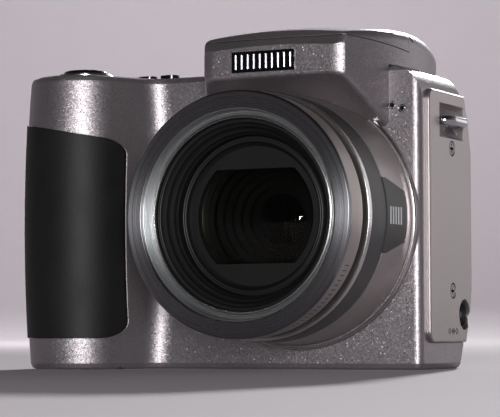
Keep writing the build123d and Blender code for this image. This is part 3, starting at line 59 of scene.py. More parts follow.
# %% Colour and node helpers
def linear(code):
    """sRGB hex such as #8a8a8f as linear red, green and blue, with an alpha of one."""
    parts = [int(code[i:i + 2], 16) / 255 for i in (1, 3, 5)]
    return [p / 12.92 if p <= 0.04045 else ((p + 0.055) / 1.055) ** 2.4 for p in parts] + [1.0]


def node(tree, kind, inputs=(), **settings):
    """Adds a node; inputs pairs a socket name or number with a value or with the socket that feeds it."""
    made = tree.nodes.new(kind)
    for name, value in settings.items():
        setattr(made, name, value)
    for name, value in dict(inputs).items():
        if isinstance(value, bpy.types.NodeSocket):
            tree.links.new(value, made.inputs[name])
        else:
            made.inputs[name].default_value = value
    return made


def new_material(name):
    """Material with an empty tree and one shader linked to its output."""
    material = bpy.data.materials.new(name)
    material.use_nodes = True
    tree = material.node_tree
    tree.nodes.clear()
    shader = node(tree, "ShaderNodeBsdfPrincipled")
    node(tree, "ShaderNodeOutputMaterial", {"Surface": shader.outputs[0]})
    place = node(tree, "ShaderNodeTexCoord").outputs["Object"]
    return material, tree, shader, place


# %% [markdown]
# ## Metal-flake lacquer
# The shells are moulded ABS with a sprayed lacquer that holds aluminium flakes. From afar the paint is a
# warm grey; where it faces the lamp single flakes flash up. A Voronoi pattern gives each flake its own
# tone. Most flakes lie nearly flat, and a few stand at an angle, so the normal is tilted a little in every
# cell and strongly in one cell of twenty. Real flakes are about 0.05 mm; here a cell is 0.2 mm, because a
# finer one wouldn't show in the picture.

# %% Lacquer
FLAKE = 0.20 * MM
STEEP_SHARE = 0.06


def flake_lacquer(name, colour, dark, metallic, roughness, glitter, steep=0.3, edge_mm=0.3):
    """Metallic lacquer with glitter and gently rounded edges."""
    material, tree, shader, place = new_material(name)
    cells = node(tree, "ShaderNodeTexVoronoi", {"Vector": place, "Scale": 1 / FLAKE}, feature="F1")
    cloud = node(tree, "ShaderNodeTexNoise", {"Vector": place, "Scale": 60, "Detail": 3.0})
    tone = node(tree, "ShaderNodeSeparateColor", {"Color": cells.outputs["Color"]})
    lift = node(tree, "ShaderNodeMapRange", {"Value": tone.outputs[0], "To Min": 0.5 - glitter,
                                             "To Max": 0.5 + glitter})
    drift = node(tree, "ShaderNodeMapRange", {"Value": cloud.outputs["Fac"], "From Min": 0.3, "From Max": 0.7,
                                              "To Min": -0.08, "To Max": 0.08})
    mixed = node(tree, "ShaderNodeMath", {0: lift.outputs[0], 1: drift.outputs[0]}, operation="ADD",
                 use_clamp=True)
    paint = node(tree, "ShaderNodeMix", {"Factor": mixed.outputs[0], "A": linear(dark), "B": linear(colour)},
                 data_type="RGBA")
    tree.links.new(paint.outputs["Result"], shader.inputs["Base Color"])
    stands = node(tree, "ShaderNodeMath", {0: tone.outputs[1], 1: 1 - STEEP_SHARE}, operation="GREATER_THAN")
    amount = node(tree, "ShaderNodeMath", {0: stands.outputs[0], 1: steep, 2: glitter},
                  operation="MULTIPLY_ADD")
    tilt = node(tree, "ShaderNodeVectorMath", {0: cells.outputs["Color"], 1: (0.5, 0.5, 0.5)},
                operation="SUBTRACT")
    sway = node(tree, "ShaderNodeVectorMath", {0: tilt.outputs[0], "Scale": amount.outputs[0]},
                operation="SCALE")
    soft = node(tree, "ShaderNodeBevel", {"Radius": edge_mm * MM}, samples=4)
    tipped = node(tree, "ShaderNodeVectorMath", {0: soft.outputs[0], 1: sway.outputs[0]}, operation="ADD")
    unit = node(tree, "ShaderNodeVectorMath", {0: tipped.outputs[0]}, operation="NORMALIZE")
    tree.links.new(unit.outputs[0], shader.inputs["Normal"])
    shader.inputs["Metallic"].default_value = metallic
    shader.inputs["Roughness"].default_value = roughness
    shader.inputs["Coat Weight"].default_value = 0.12
    shader.inputs["Coat Roughness"].default_value = 0.3
    return material


silver_lacquer = flake_lacquer("silver metal-flake lacquer", "#a39da0", "#787276", 0.90, 0.43, 0.16)
satin_lacquer = flake_lacquer("champagne satin lacquer", "#9d9594", "#8e8786", 0.88, 0.36, 0.05, 0.1)
button_lacquer = flake_lacquer("silver button lacquer", "#a5a1a3", "#8a8789", 0.80, 0.32, 0.06, 0.1, 0.2)
dark_lacquer = flake_lacquer("smoked chrome lacquer", "#4a4647", "#3f3b3c", 0.95, 0.16, 0.02, 0.0, 0.2)
badge_lacquer = flake_lacquer("dark grey satin lacquer", "#29282a", "#232224", 0.30, 0.45, 0.03, 0.0)
print("lacquers: flake cell", FLAKE / MM, "mm")

# %% [markdown]
# ## Moulded rubber and plastics
# The grip is a thin rubber skin with a fine spark-eroded grain, which breaks the highlight into a soft
# grey sheen. The black barrels are moulded polycarbonate with a satin surface. Noise at the size
# of the grain drives a small bump, and a slower noise shifts the roughness where hands rub.

# %% Moulded materials
def moulded(name, colour, worn, roughness, grain_mm, depth, specular=0.5, edge_mm=0.15):
    """Moulded plastic or rubber with a fine grain."""
    material, tree, shader, place = new_material(name)
    grain = node(tree, "ShaderNodeTexNoise", {"Vector": place, "Scale": 1 / (grain_mm * MM), "Detail": 2.0})
    patches = node(tree, "ShaderNodeTexNoise", {"Vector": place, "Scale": 90, "Detail": 4.0})
    blend = node(tree, "ShaderNodeMapRange", {"Value": patches.outputs["Fac"], "From Min": 0.35,
                                              "From Max": 0.75, "To Min": 0.0, "To Max": 1.0})
    tint = node(tree, "ShaderNodeMix", {"Factor": blend.outputs[0], "A": linear(colour), "B": linear(worn)},
                data_type="RGBA")
    tree.links.new(tint.outputs["Result"], shader.inputs["Base Color"])
    rough = node(tree, "ShaderNodeMapRange", {"Value": patches.outputs["Fac"], "From Min": 0.3,
                                              "From Max": 0.7, "To Min": roughness - 0.05,
                                              "To Max": roughness + 0.012})
    tree.links.new(rough.outputs[0], shader.inputs["Roughness"])
    soft = node(tree, "ShaderNodeBevel", {"Radius": edge_mm * MM}, samples=4)
    bump = node(tree, "ShaderNodeBump", {"Height": grain.outputs["Fac"], "Distance": depth * MM,
                                         "Strength": 0.6, "Normal": soft.outputs[0]})
    tree.links.new(bump.outputs[0], shader.inputs["Normal"])
    shader.inputs["Specular IOR Level"].default_value = specular
    return material


grip_rubber = moulded("moulded grip rubber", "#121112", "#171617", 0.56, 0.35, 0.06, specular=0.22,
                      edge_mm=0.3)
black_plastic = moulded("satin black polycarbonate", "#121213", "#18181a", 0.42, 0.25, 0.02, specular=0.35)
dull_black = moulded("matt black anti-reflection paint", "#0c0c0c", "#111111", 0.7, 0.3, 0.03, specular=0.2)
socket_plastic = moulded("black nylon", "#17171a", "#1f1f22", 0.5, 0.3, 0.03)
cell_wrap = moulded("printed shrink sleeve", "#26304a", "#2c3652", 0.3, 0.5, 0.01)
can_sleeve = moulded("black can sleeve", "#15151c", "#1d1d26", 0.35, 0.5, 0.01)

# %% [markdown]
# ## Ridged black for the inside of the lens
# The inner barrels carry fine moulded ridges round the axis that trap stray light. They are 0.5 mm apart,
# so they are drawn in the material: a wave of the distance from the lens axis drives the bump. The crest
# of each wave is also painted a lighter grey: a painted highlight along the ridges.

# %% Anti-reflection ridges
LENS_HEIGHT = 33.84 * MM
RIDGE_PITCH = 0.5 * MM


def lens_coordinates(tree, place):
    """Sockets for the distance from the lens axis, and for the depth along it."""
    spread = node(tree, "ShaderNodeSeparateXYZ", {"Vector": place})
    height = node(tree, "ShaderNodeMath", {0: spread.outputs["Z"], 1: LENS_HEIGHT}, operation="SUBTRACT")
    flat = node(tree, "ShaderNodeCombineXYZ", {"X": spread.outputs["X"], "Y": height.outputs[0]})
    radius = node(tree, "ShaderNodeVectorMath", {0: flat.outputs[0]}, operation="LENGTH")
    return radius.outputs["Value"], spread.outputs["Y"], spread, height


ridged_black, ridge_tree, ridge_shader, ridge_place = new_material("ridged black polycarbonate")
ridge_radius, ridge_depth, _, _ = lens_coordinates(ridge_tree, ridge_place)
ridge_sum = node(ridge_tree, "ShaderNodeMath", {0: ridge_radius, 1: ridge_depth}, operation="ADD")
ridge_turns = node(ridge_tree, "ShaderNodeMath", {0: ridge_sum.outputs[0], 1: 2 * math.pi / RIDGE_PITCH},
                   operation="MULTIPLY")
ridge_wave = node(ridge_tree, "ShaderNodeMath", {0: ridge_turns.outputs[0]}, operation="SINE")
ridge_bump = node(ridge_tree, "ShaderNodeBump", {"Height": ridge_wave.outputs[0], "Distance": 0.05 * MM,
                                                 "Strength": 0.8})
# Painted highlight: the crest of each ridge gets a lighter grey, as if it caught the light.
ridge_crest_highlight = node(ridge_tree, "ShaderNodeMapRange", {"Value": ridge_wave.outputs[0], "From Min": 0.6,
                                                     "From Max": 1.0, "To Min": 0.0, "To Max": 1.0})
ridge_highlight_tint = node(ridge_tree, "ShaderNodeMix", {"Factor": ridge_crest_highlight.outputs[0], "A": linear("#0c0c0d"),
                                                "B": linear("#1d1d1f")}, data_type="RGBA")
ridge_tree.links.new(ridge_highlight_tint.outputs["Result"], ridge_shader.inputs["Base Color"])
ridge_tree.links.new(ridge_bump.outputs[0], ridge_shader.inputs["Normal"])
ridge_shader.inputs["Roughness"].default_value = 0.45
ridge_shader.inputs["Specular IOR Level"].default_value = 0.3
print("ridge pitch", RIDGE_PITCH / MM, "mm")

# %% [markdown]
# ## Turned and plated metal
# The rings round the lens are aluminium turned on a lathe and anodised, so fine circular tool lines run
# round the lens axis and stretch the highlight across the ring. The distance from the lens axis
# gives those lines: a noise read at (radius, depth) repeats all the way round.

# %% Metals
def turned_metal(name, colour, stain, roughness, line_mm, depth, metallic=1.0, about_lens=True, grain=0.0):
    """Metal with fine lines round the lens axis, or plain rolled metal; grain draws the gloss into a fan."""
    material, tree, shader, place = new_material(name)
    where = place
    if about_lens:
        radius, depth_along, spread, height = lens_coordinates(tree, place)
        where = node(tree, "ShaderNodeCombineXYZ", {"X": radius, "Y": depth_along}).outputs[0]
        if grain:
            round_way = node(tree, "ShaderNodeCombineXYZ", {"X": height.outputs[0], "Z": spread.outputs["X"]})
            flip = node(tree, "ShaderNodeVectorMath", {0: round_way.outputs[0], 1: (1.0, 1.0, -1.0)},
                        operation="MULTIPLY")
            tree.links.new(flip.outputs[0], shader.inputs["Tangent"])
            shader.inputs["Anisotropic"].default_value = grain
            shader.inputs["Anisotropic Rotation"].default_value = 0.25
    lines = node(tree, "ShaderNodeTexNoise", {"Vector": where, "Scale": 1 / (line_mm * MM), "Detail": 2.0})
    patches = node(tree, "ShaderNodeTexNoise", {"Vector": place, "Scale": 120, "Detail": 3.0})
    tint = node(tree, "ShaderNodeMix", {"Factor": patches.outputs["Fac"], "A": linear(colour),
                                        "B": linear(stain)}, data_type="RGBA")
    tree.links.new(tint.outputs["Result"], shader.inputs["Base Color"])
    rough = node(tree, "ShaderNodeMapRange", {"Value": lines.outputs["Fac"], "From Min": 0.3,
                                              "From Max": 0.7, "To Min": roughness * 0.8,
                                              "To Max": roughness * 1.2})
    tree.links.new(rough.outputs[0], shader.inputs["Roughness"])
    soft = node(tree, "ShaderNodeBevel", {"Radius": 0.15 * MM}, samples=4)
    bump = node(tree, "ShaderNodeBump", {"Height": lines.outputs["Fac"], "Distance": depth * MM,
                                         "Strength": 0.5, "Normal": soft.outputs[0]})
    tree.links.new(bump.outputs[0], shader.inputs["Normal"])
    shader.inputs["Metallic"].default_value = metallic
    return material


ring_face = turned_metal("turned gunmetal anodised aluminium", "#8f8e92", "#7f7e82", 0.28, 0.20, 0.01,
                         grain=0.85)
band_metal = turned_metal("champagne anodised aluminium", "#a59c99", "#98908d", 0.42, 0.25, 0.01, 0.85)
bright_ring = turned_metal("bright turned aluminium", "#c6c3c3", "#b8b5b5", 0.22, 0.20, 0.01)
thread_metal = turned_metal("natural aluminium", "#c9cccd", "#babdbe", 0.32, 0.20, 0.01)
# A darker copy of the chrome plate: its darker tone is painted shade and painted dark reflection, used on the
# nameplate and the screws.
shaded_chrome = turned_metal("chrome plate with painted shade", "#5d5b60", "#4f4d52", 0.12, 0.6, 0.01, about_lens=False)
chrome = turned_metal("chrome plate", "#cfcfd1", "#c2c2c4", 0.10, 0.8, 0.004, about_lens=False)
steel = turned_metal("turned steel", "#9b9a99", "#8b8a89", 0.28, 0.3, 0.01, about_lens=False)
tin_plate = turned_metal("stamped tin plate", "#a9a8a2", "#999892", 0.36, 0.6, 0.01, about_lens=False)

# %% [markdown]
# ## Glass and circuit laminate
# Optical glass is clear, and its coating cuts the reflection to a fraction of a percent, so a camera lens
# looks nearly black. An index close to one gives each surface that small reflection, and the body stays
# fully transmitting, so the ridges behind the front lens show. The lens glass and the flash window carry a
# grey tint that darkens what is seen through them: painted shade inside the lens, and a painted dark
# reflection in the flash reflector behind the window. The screen is dark because what lies behind its
# cover is.

# %% Glass
def clear_glass(name, colour, ior, roughness, gloss, coat=0.0, through=1.0):
    """Glass with a trace of dust; an index near one stands for an anti-reflection coating."""
    material, tree, shader, place = new_material(name)
    dust = node(tree, "ShaderNodeTexNoise", {"Vector": place, "Scale": 900, "Detail": 4.0})
    smear = node(tree, "ShaderNodeMapRange", {"Value": dust.outputs["Fac"], "From Min": 0.4,
                                              "From Max": 0.8, "To Min": roughness,
                                              "To Max": roughness + 0.012})
    tree.links.new(smear.outputs[0], shader.inputs["Roughness"])
    shader.inputs["Base Color"].default_value = linear(colour)
    shader.inputs["IOR"].default_value = ior
    shader.inputs["Transmission Weight"].default_value = through
    shader.inputs["Specular IOR Level"].default_value = gloss
    shader.inputs["Coat Weight"].default_value = coat
    shader.inputs["Coat Roughness"].default_value = 0.03
    return material


# Painted shade: the grey tint of the lens glass darkens the inside of the lens.
shade_tinted_lens_glass = clear_glass("coated optical glass", "#c6c6be", 1.18, 0.0, 0.5)
# Painted dark reflection: the grey tint of the window darkens the bright reflector behind it.
shade_tinted_window_glass = clear_glass("clear acrylic", "#8e9094", 1.49, 0.05, 0.4)
tube_glass = clear_glass("quartz glass", "#f4f4f4", 1.46, 0.02, 0.5)
screen_cover = clear_glass("hard-coated acrylic", "#8c8f94", 1.49, 0.02, 0.5, coat=0.3)
print("glass made")


def laminate(name, colour, track):
    """Circuit board: lacquered laminate with faint copper tracks."""
    material, tree, shader, place = new_material(name)
    tracks = node(tree, "ShaderNodeTexBrick", {"Vector": place, "Scale": 350.0, "Color1": linear(colour),
                                               "Color2": linear(colour), "Mortar": linear(track),
                                               "Mortar Size": 0.03})
    tree.links.new(tracks.outputs["Color"], shader.inputs["Base Color"])
    shader.inputs["Roughness"].default_value = 0.35
    return material


board_green = laminate("lacquered circuit laminate", "#123c26", "#2f6a48")
dark_chip = clear_glass("dark cover glass", "#101116", 1.5, 0.05, 0.3, through=0.0)

# %% [markdown]
# ## Give each node its finish
# Every piece of the frame keeps its shape and only changes its material.

# %% Finishes of the frame's nodes
finishes = {
    silver_lacquer: ["front_shell", "rear_shell", "top_housing", "flash_lid"],
    satin_lacquer: ["side_panel", "card_door", "battery_door", "lens_sleeve"],
    button_lacquer: ["mode_dial", "zoom_rocker", "delete_button", "menu_button", "review_button",
                     "share_button"],
    dark_lacquer: ["shutter_button", "flash_button", "focus_button", "drive_button", "command_dial"],
    badge_lacquer: ["badge_ring"],
    grip_rubber: ["grip_cover", "eyecup"],
    ridged_black: ["lens_tube", "zoom_barrel_outer", "zoom_barrel_inner"],
    black_plastic: ["battery_holder", "joystick_gimbal", "battery_latch", "joystick"],
    dull_black: ["lens_mask", "lens_baffle", "focus_carrier"],
    socket_plastic: ["dock_connector", "dc_jack"],
    cell_wrap: ["battery_cells"],
    can_sleeve: ["flash_capacitor"],
    ring_face: ["front_ring"],
    band_metal: ["barrel_band"],
    bright_ring: ["trim_ring", "shutter_bezel"],
    chrome: ["strap_lugs", "flash_reflector"],
    steel: ["flash_hinge_pin", "guide_rods", "case_screws", "tripod_socket", "zoom_motor"],
    tin_plate: ["card_slot"],
    shade_tinted_lens_glass: ["front_lens", "rear_lens", "focus_lens", "eyepiece_lens"],
    shade_tinted_window_glass: ["flash_window"],
    tube_glass: ["flash_tube"],
    screen_cover: ["lcd_glass"],
    dark_chip: ["image_sensor", "evf_display", "lcd_panel"],
    board_green: ["sensor_board", "main_board"],
}
dressed = set()
for material, names in finishes.items():
    for name in names:
        piece = nodes[name]
        if not piece.material_slots:
            piece.data.materials.append(material)
        for holder in piece.material_slots:
            holder.material = material
        dressed.add(name)
print("dressed nodes:", len(dressed), "left:", sorted(set(nodes) - dressed))

# %% [markdown]
# ## Three tools for small parts
# What is too fine for the solid model is made here. A turned part is a profile swept round the lens axis.
# Repeated parts come from Geometry Nodes: a tree says once how one ring or bar looks, and how the row
# goes on. The tree's result is kept as a plain mesh, because the finished model carries no modifiers.

# %% Turned parts, node trees and their baking
def keep_piece(name, mesh, material, body):
    """Object for a finished mesh at the origin, riding on a body of the frame."""
    mesh.name = name
    mesh.materials.clear()
    mesh.materials.append(material)
    for face in mesh.polygons:
        face.use_smooth = True
    mesh.set_sharp_from_angle(angle=math.radians(38))
    piece = bpy.data.objects.new(name, mesh)
    bpy.context.scene.collection.objects.link(piece)
    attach(piece, body)
    print(name, "faces:", len(mesh.polygons), "rides on", body)
    return piece


def turned_part(name, profile, material, body="body", sides=120):
    """Closed profile of (y, radius) points in millimetres, swept round the lens axis."""
    made = bmesh.new()
    rows = []
    for step in range(sides):
        angle = 2 * math.pi * step / sides
        rows.append([made.verts.new((r * MM * math.sin(angle), y * MM,
                                     LENS_HEIGHT + r * MM * math.cos(angle))) for y, r in profile])
    for step in range(sides):
        here, there = rows[step], rows[(step + 1) % sides]
        for i in range(len(profile)):
            j = (i + 1) % len(profile)
            made.faces.new((here[i], here[j], there[j], there[i]))
    bmesh.ops.recalc_face_normals(made, faces=made.faces)
    mesh = bpy.data.meshes.new(name)
    made.to_mesh(mesh)
    made.free()
    return keep_piece(name, mesh, material, body)


def new_tree(name, inputs):
    """Geometry Nodes tree with named inputs; returns the tree and its input node."""
    tree = bpy.data.node_groups.new(name, "GeometryNodeTree")
    tree.interface.new_socket(name="Geometry", in_out="OUTPUT", socket_type="NodeSocketGeometry")
    for label, kind in inputs:
        tree.interface.new_socket(name=label, in_out="INPUT", socket_type="NodeSocket" + kind)
    return tree, tree.nodes.new("NodeGroupInput")


def close_tree(tree, given, geometry):
    """Ends a tree in Realize Instances and Set Material, so that it hands on one plain mesh."""
    real = node(tree, "GeometryNodeRealizeInstances", {"Geometry": geometry})
    painted = node(tree, "GeometryNodeSetMaterial", {"Geometry": real.outputs[0],
                                                     "Material": given.outputs["Material"]})
    node(tree, "NodeGroupOutput", {"Geometry": painted.outputs[0]})


def grow(name, tree, values, material, body, points=(), ways=()):
    """Runs a tree once and keeps a plain mesh; an input that values leaves out stays at zero.

    Some trees work on points, and each point may have a way, the direction that it faces.
    """
    start = bpy.data.meshes.new(name + "_seed")
    start.from_pydata(points, [], [])
    if ways:
        start.attributes.new("way", "FLOAT_VECTOR", "POINT").data.foreach_set(
            "vector", [number for way in ways for number in way])
    seed = bpy.data.objects.new(name + "_seed", start)
    bpy.context.scene.collection.objects.link(seed)
    modifier = seed.modifiers.new("nodes", "NODES")
    modifier.node_group = tree
    for item in tree.interface.items_tree:
        if item.in_out == "INPUT" and item.name == "Material":
            modifier[item.identifier] = material
        elif item.in_out == "INPUT" and item.name in values:
            modifier[item.identifier] = values[item.name]
    bpy.context.view_layer.update()
    mesh = bpy.data.meshes.new_from_object(seed.evaluated_get(bpy.context.evaluated_depsgraph_get()))
    bpy.data.objects.remove(seed)
    return keep_piece(name, mesh, material, body)


# %% [markdown]
# ## A tree for rows of rings
# Screw threads, knurls and ribbed rings look like stacked rings from outside. The tree lays points along a
# line, puts a circle on each, lets the radius grow from ring to ring, and sweeps a small round bead
# along every circle.

# %% Ring row tree
ring_row, given = new_tree("ring_row", [("Count", "Int"), ("First", "Vector"), ("Step", "Vector"),
                                        ("Radius", "Float"), ("Growth", "Float"), ("Bead", "Float"),
                                        ("Turn", "Vector"), ("Sides", "Int"), ("Material", "Material")])
spots = node(ring_row, "GeometryNodeMeshLine", {"Count": given.outputs["Count"],
                                                "Start Location": given.outputs["First"],
                                                "Offset": given.outputs["Step"]}, mode="OFFSET")
which = node(ring_row, "GeometryNodeInputIndex")
size = node(ring_row, "ShaderNodeMath", {0: which.outputs[0], 1: given.outputs["Growth"],
                                         2: given.outputs["Radius"]}, operation="MULTIPLY_ADD")
circle = node(ring_row, "GeometryNodeCurvePrimitiveCircle", {"Resolution": given.outputs["Sides"],
                                                             "Radius": 1.0})
rings = node(ring_row, "GeometryNodeInstanceOnPoints", {"Points": spots.outputs[0],
                                                        "Instance": circle.outputs[0],
                                                        "Rotation": given.outputs["Turn"],
                                                        "Scale": size.outputs[0]})
lines = node(ring_row, "GeometryNodeRealizeInstances", {"Geometry": rings.outputs[0]})
bead = node(ring_row, "GeometryNodeCurvePrimitiveCircle", {"Resolution": 6, "Radius": given.outputs["Bead"]})
swept = node(ring_row, "GeometryNodeCurveToMesh", {"Curve": lines.outputs[0],
                                                   "Profile Curve": bead.outputs[0]})
close_tree(ring_row, given, swept.outputs[0])
print("tree:", ring_row.name, "nodes:", len(ring_row.nodes))

# %% [markdown]
# ## A tree for bars in a row or round an axis
# Ticks, contacts, ribs and fins are short bars. Each bar stands at a radius and is turned by its own share
# of the sweep; with no radius and no turn the same tree makes a straight row.

# %% Bar tree
bar_fan, given = new_tree("bar_fan", [("Count", "Int"), ("Size", "Vector"), ("Radius", "Float"),
                                      ("Start", "Float"), ("Angle", "Float"), ("Step", "Vector"),
                                      ("Turn", "Vector"), ("Centre", "Vector"), ("Material", "Material")])
spots = node(bar_fan, "GeometryNodeMeshLine", {"Count": given.outputs["Count"], "Start Location": (0, 0, 0),
                                               "Offset": given.outputs["Step"]}, mode="OFFSET")
which = node(bar_fan, "GeometryNodeInputIndex")
angle = node(bar_fan, "ShaderNodeMath", {0: which.outputs[0], 1: given.outputs["Angle"],
                                         2: given.outputs["Start"]}, operation="MULTIPLY_ADD")
spin = node(bar_fan, "ShaderNodeCombineXYZ", {"Z": angle.outputs[0]})
bar = node(bar_fan, "GeometryNodeMeshCube", {"Size": given.outputs["Size"]})
out_by = node(bar_fan, "ShaderNodeCombineXYZ", {"X": given.outputs["Radius"]})
moved = node(bar_fan, "GeometryNodeTransform", {"Geometry": bar.outputs[0], "Translation": out_by.outputs[0]})
bars = node(bar_fan, "GeometryNodeInstanceOnPoints", {"Points": spots.outputs[0],
                                                      "Instance": moved.outputs[0],
                                                      "Rotation": spin.outputs[0]})
placed = node(bar_fan, "GeometryNodeTransform", {"Geometry": bars.outputs[0],
                                                 "Rotation": given.outputs["Turn"],
                                                 "Translation": given.outputs["Centre"]})
close_tree(bar_fan, given, placed.outputs[0])
print("tree:", bar_fan.name, "nodes:", len(bar_fan.nodes))

QUARTER = math.pi / 2
ROUND_Y = (QUARTER, 0.0, 0.0)
ROUND_X = (0.0, QUARTER, 0.0)

# %% [markdown]
# ## Filter thread
# Filters and adapters screw into the front ring. The thread is cut 0.6 mm from turn to turn in bare
# aluminium, and behind it a pale ridged shoulder leads down to the bright lip of the front barrel.
# Rings stand for the turns of the thread: at this pitch the eye can't tell them from a helix.

# %% Thread, shoulder and lip
FACE_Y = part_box("front_ring")[0][1] / MM
TUBE_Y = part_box("lens_tube")[0][1] / MM
THREAD_PITCH, THREAD_START = 0.6, 0.75
grow("filter_thread", ring_row, {
    "Count": 4, "First": (0.0, (FACE_Y + THREAD_START) * MM, LENS_HEIGHT),
    "Step": (0.0, THREAD_PITCH * MM, 0.0), "Radius": 22.95 * MM, "Growth": -0.04 * MM, "Bead": 0.20 * MM,
    "Turn": ROUND_Y, "Sides": 120}, thread_metal, "body")
turned_part("thread_shoulder", [(TUBE_Y - 0.25, 22.98), (TUBE_Y - 0.12, 22.2), (TUBE_Y - 0.12, 21.5),
                                (TUBE_Y - 0.02, 21.5), (TUBE_Y - 0.02, 22.98)], thread_metal)
grow("shoulder_ridges", ring_row, {
    "Count": 3, "First": (0.0, (TUBE_Y - 0.2) * MM, LENS_HEIGHT), "Radius": 22.5 * MM,
    "Growth": -0.4 * MM, "Bead": 0.15 * MM, "Turn": ROUND_Y, "Sides": 120},
    thread_metal, "body")
turned_part("barrel_lip", [(TUBE_Y - 0.02, 21.5), (TUBE_Y - 0.55, 21.45), (TUBE_Y - 0.62, 21.3),
                           (TUBE_Y - 0.62, 21.15), (TUBE_Y - 0.5, 21.02), (TUBE_Y - 0.02, 21.02)],
            bright_ring)

# %% [markdown]
# ## Rings that catch the light round the barrel
# The rounded edge of the body's collar runs round the foot of the lens where it leaves the body, and
# shows as a white line. It is drawn as a thin turned ring of bright aluminium with a chamfer: the chamfer
# catches the lamp, and the bright aluminium, paler than the lacquered collar, is a painted highlight.

# %% Painted highlight ring at the foot of the lens
FRONT_PANEL_Y = -16.0
FOOT_Y = FRONT_PANEL_Y - 1.8
# The bright aluminium of this ring is a painted highlight on the lacquered collar edge.
turned_part("foot_edge", [(FOOT_Y - 0.04, 28.75), (FOOT_Y - 0.04, 29.05), (FOOT_Y + 0.28, 29.36),
                          (FOOT_Y + 0.5, 29.36), (FOOT_Y + 0.5, 29.2), (FOOT_Y + 0.02, 28.75)],
            bright_ring, sides=160)

# %% [markdown]
# ## Nameplate
# On the brow sits a small plate: a chrome strip with upright ribs, drawn in a darker copy of the chrome
# whose darker tone is painted shade and painted dark reflection. The ribs are turned a little about their
# own axis, so that each shows one bright side. Both come from the bar tree.

# %% Ribbed plate on the brow
PLATE_X, PLATE_Y, PLATE_HEIGHT = -2.1 * MM, -30.0 * MM, 69.0 * MM
rib_count, rib_pitch = 10, 1.5 * MM
grow("brow_plate", bar_fan, {"Count": 1, "Size": (15.6 * MM, 0.30 * MM, 4.7 * MM),
                             "Centre": (PLATE_X, PLATE_Y - 0.12 * MM, PLATE_HEIGHT)},
     shaded_chrome, "body")
grow("brow_ribs", bar_fan, {"Count": rib_count, "Size": (0.32 * MM, 0.40 * MM, 3.3 * MM),
                            "Start": math.radians(28), "Step": (rib_pitch, 0.0, 0.0),
                            "Centre": (PLATE_X - rib_pitch * (rib_count - 1) / 2, PLATE_Y - 0.32 * MM,
                                       PLATE_HEIGHT)}, shaded_chrome, "body")

# %% [markdown]
# ## Marks and ticks
# Printed marks are films of ink, far thinner than a solid model shows. Here they are bars and rings that
# stand a little proud. The scale on the barrel band, the bars on the dark tab and the dots round the
# mode dial are plain ticks.

# %% Ink
dark_ink = moulded("dark grey pad-printed ink", "#3a3839", "#424041", 0.5, 0.3, 0.005)
pale_ink = moulded("pale grey pad-printed ink", "#a9a9ab", "#b3b3b5", 0.5, 0.3, 0.005)
red_ink = moulded("red pad-printed ink", "#a03028", "#a83a30", 0.45, 0.3, 0.005)

# %% Ticks on the barrel band
band_low, band_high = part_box("barrel_band")
band_middle = (band_low[1] + band_high[1]) / 2
grow("band_ticks", bar_fan, {"Count": 16, "Size": (0.06 * MM, 0.30 * MM, 1.9 * MM),
                             "Radius": 26.7 * MM, "Start": math.radians(-64), "Angle": math.radians(2.6),
                             "Turn": ROUND_Y, "Centre": (0.0, band_middle, LENS_HEIGHT)},
     dark_ink, "body")

# %% Bars on the dark tab
def met_surface(name, start, way):
    """Where a line first meets a node, in metres."""
    found, point, _, _ = nodes[name].ray_cast(Vector(start), Vector(way))
    print(name, "surface met:", found, [round(p / MM, 2) for p in point])
    return point


bpy.context.view_layer.update()
TAB_Y, TAB_STEP, tab_bars = -28.4 * MM, 1.3 * MM, 5
tab_front = met_surface("badge_ring", (0.06, TAB_Y, LENS_HEIGHT), (-1, 0, 0))
tab_rear = met_surface("badge_ring", (0.06, TAB_Y + (tab_bars - 1) * TAB_STEP, LENS_HEIGHT), (-1, 0, 0))
tab_slope = (tab_rear.x - tab_front.x) / (tab_bars - 1)
grow("tab_bars", bar_fan, {"Count": tab_bars, "Size": (0.16 * MM, 0.6 * MM, 3.8 * MM),
                           "Step": (tab_slope, TAB_STEP, 0.0), "Centre": tab_front},
     pale_ink, "body")

# %% Ticks round the mode dial
DIAL_X, DIAL_Y, DIAL_HEIGHT = -46.0 * MM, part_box("mode_dial")[1][1], 36.0 * MM
grow("dial_marks", bar_fan, {"Count": 9, "Size": (1.5 * MM, 0.5 * MM, 0.06 * MM), "Radius": 8.3 * MM,
                             "Start": math.radians(30), "Angle": math.radians(40), "Turn": ROUND_Y,
                             "Centre": (DIAL_X, DIAL_Y, DIAL_HEIGHT)},
     dark_ink, "mode_dial")

# %% [markdown]
# ## Cross-recess screws
# Six small machine screws hold the shells and the side panel. The solid model has plain heads, so one screw
# is drawn here with its cross recess, and a tree sets it at the six places, each turned to its own side.
# The screws take the darker copy of the chrome: painted shade of the recesses they sit in.

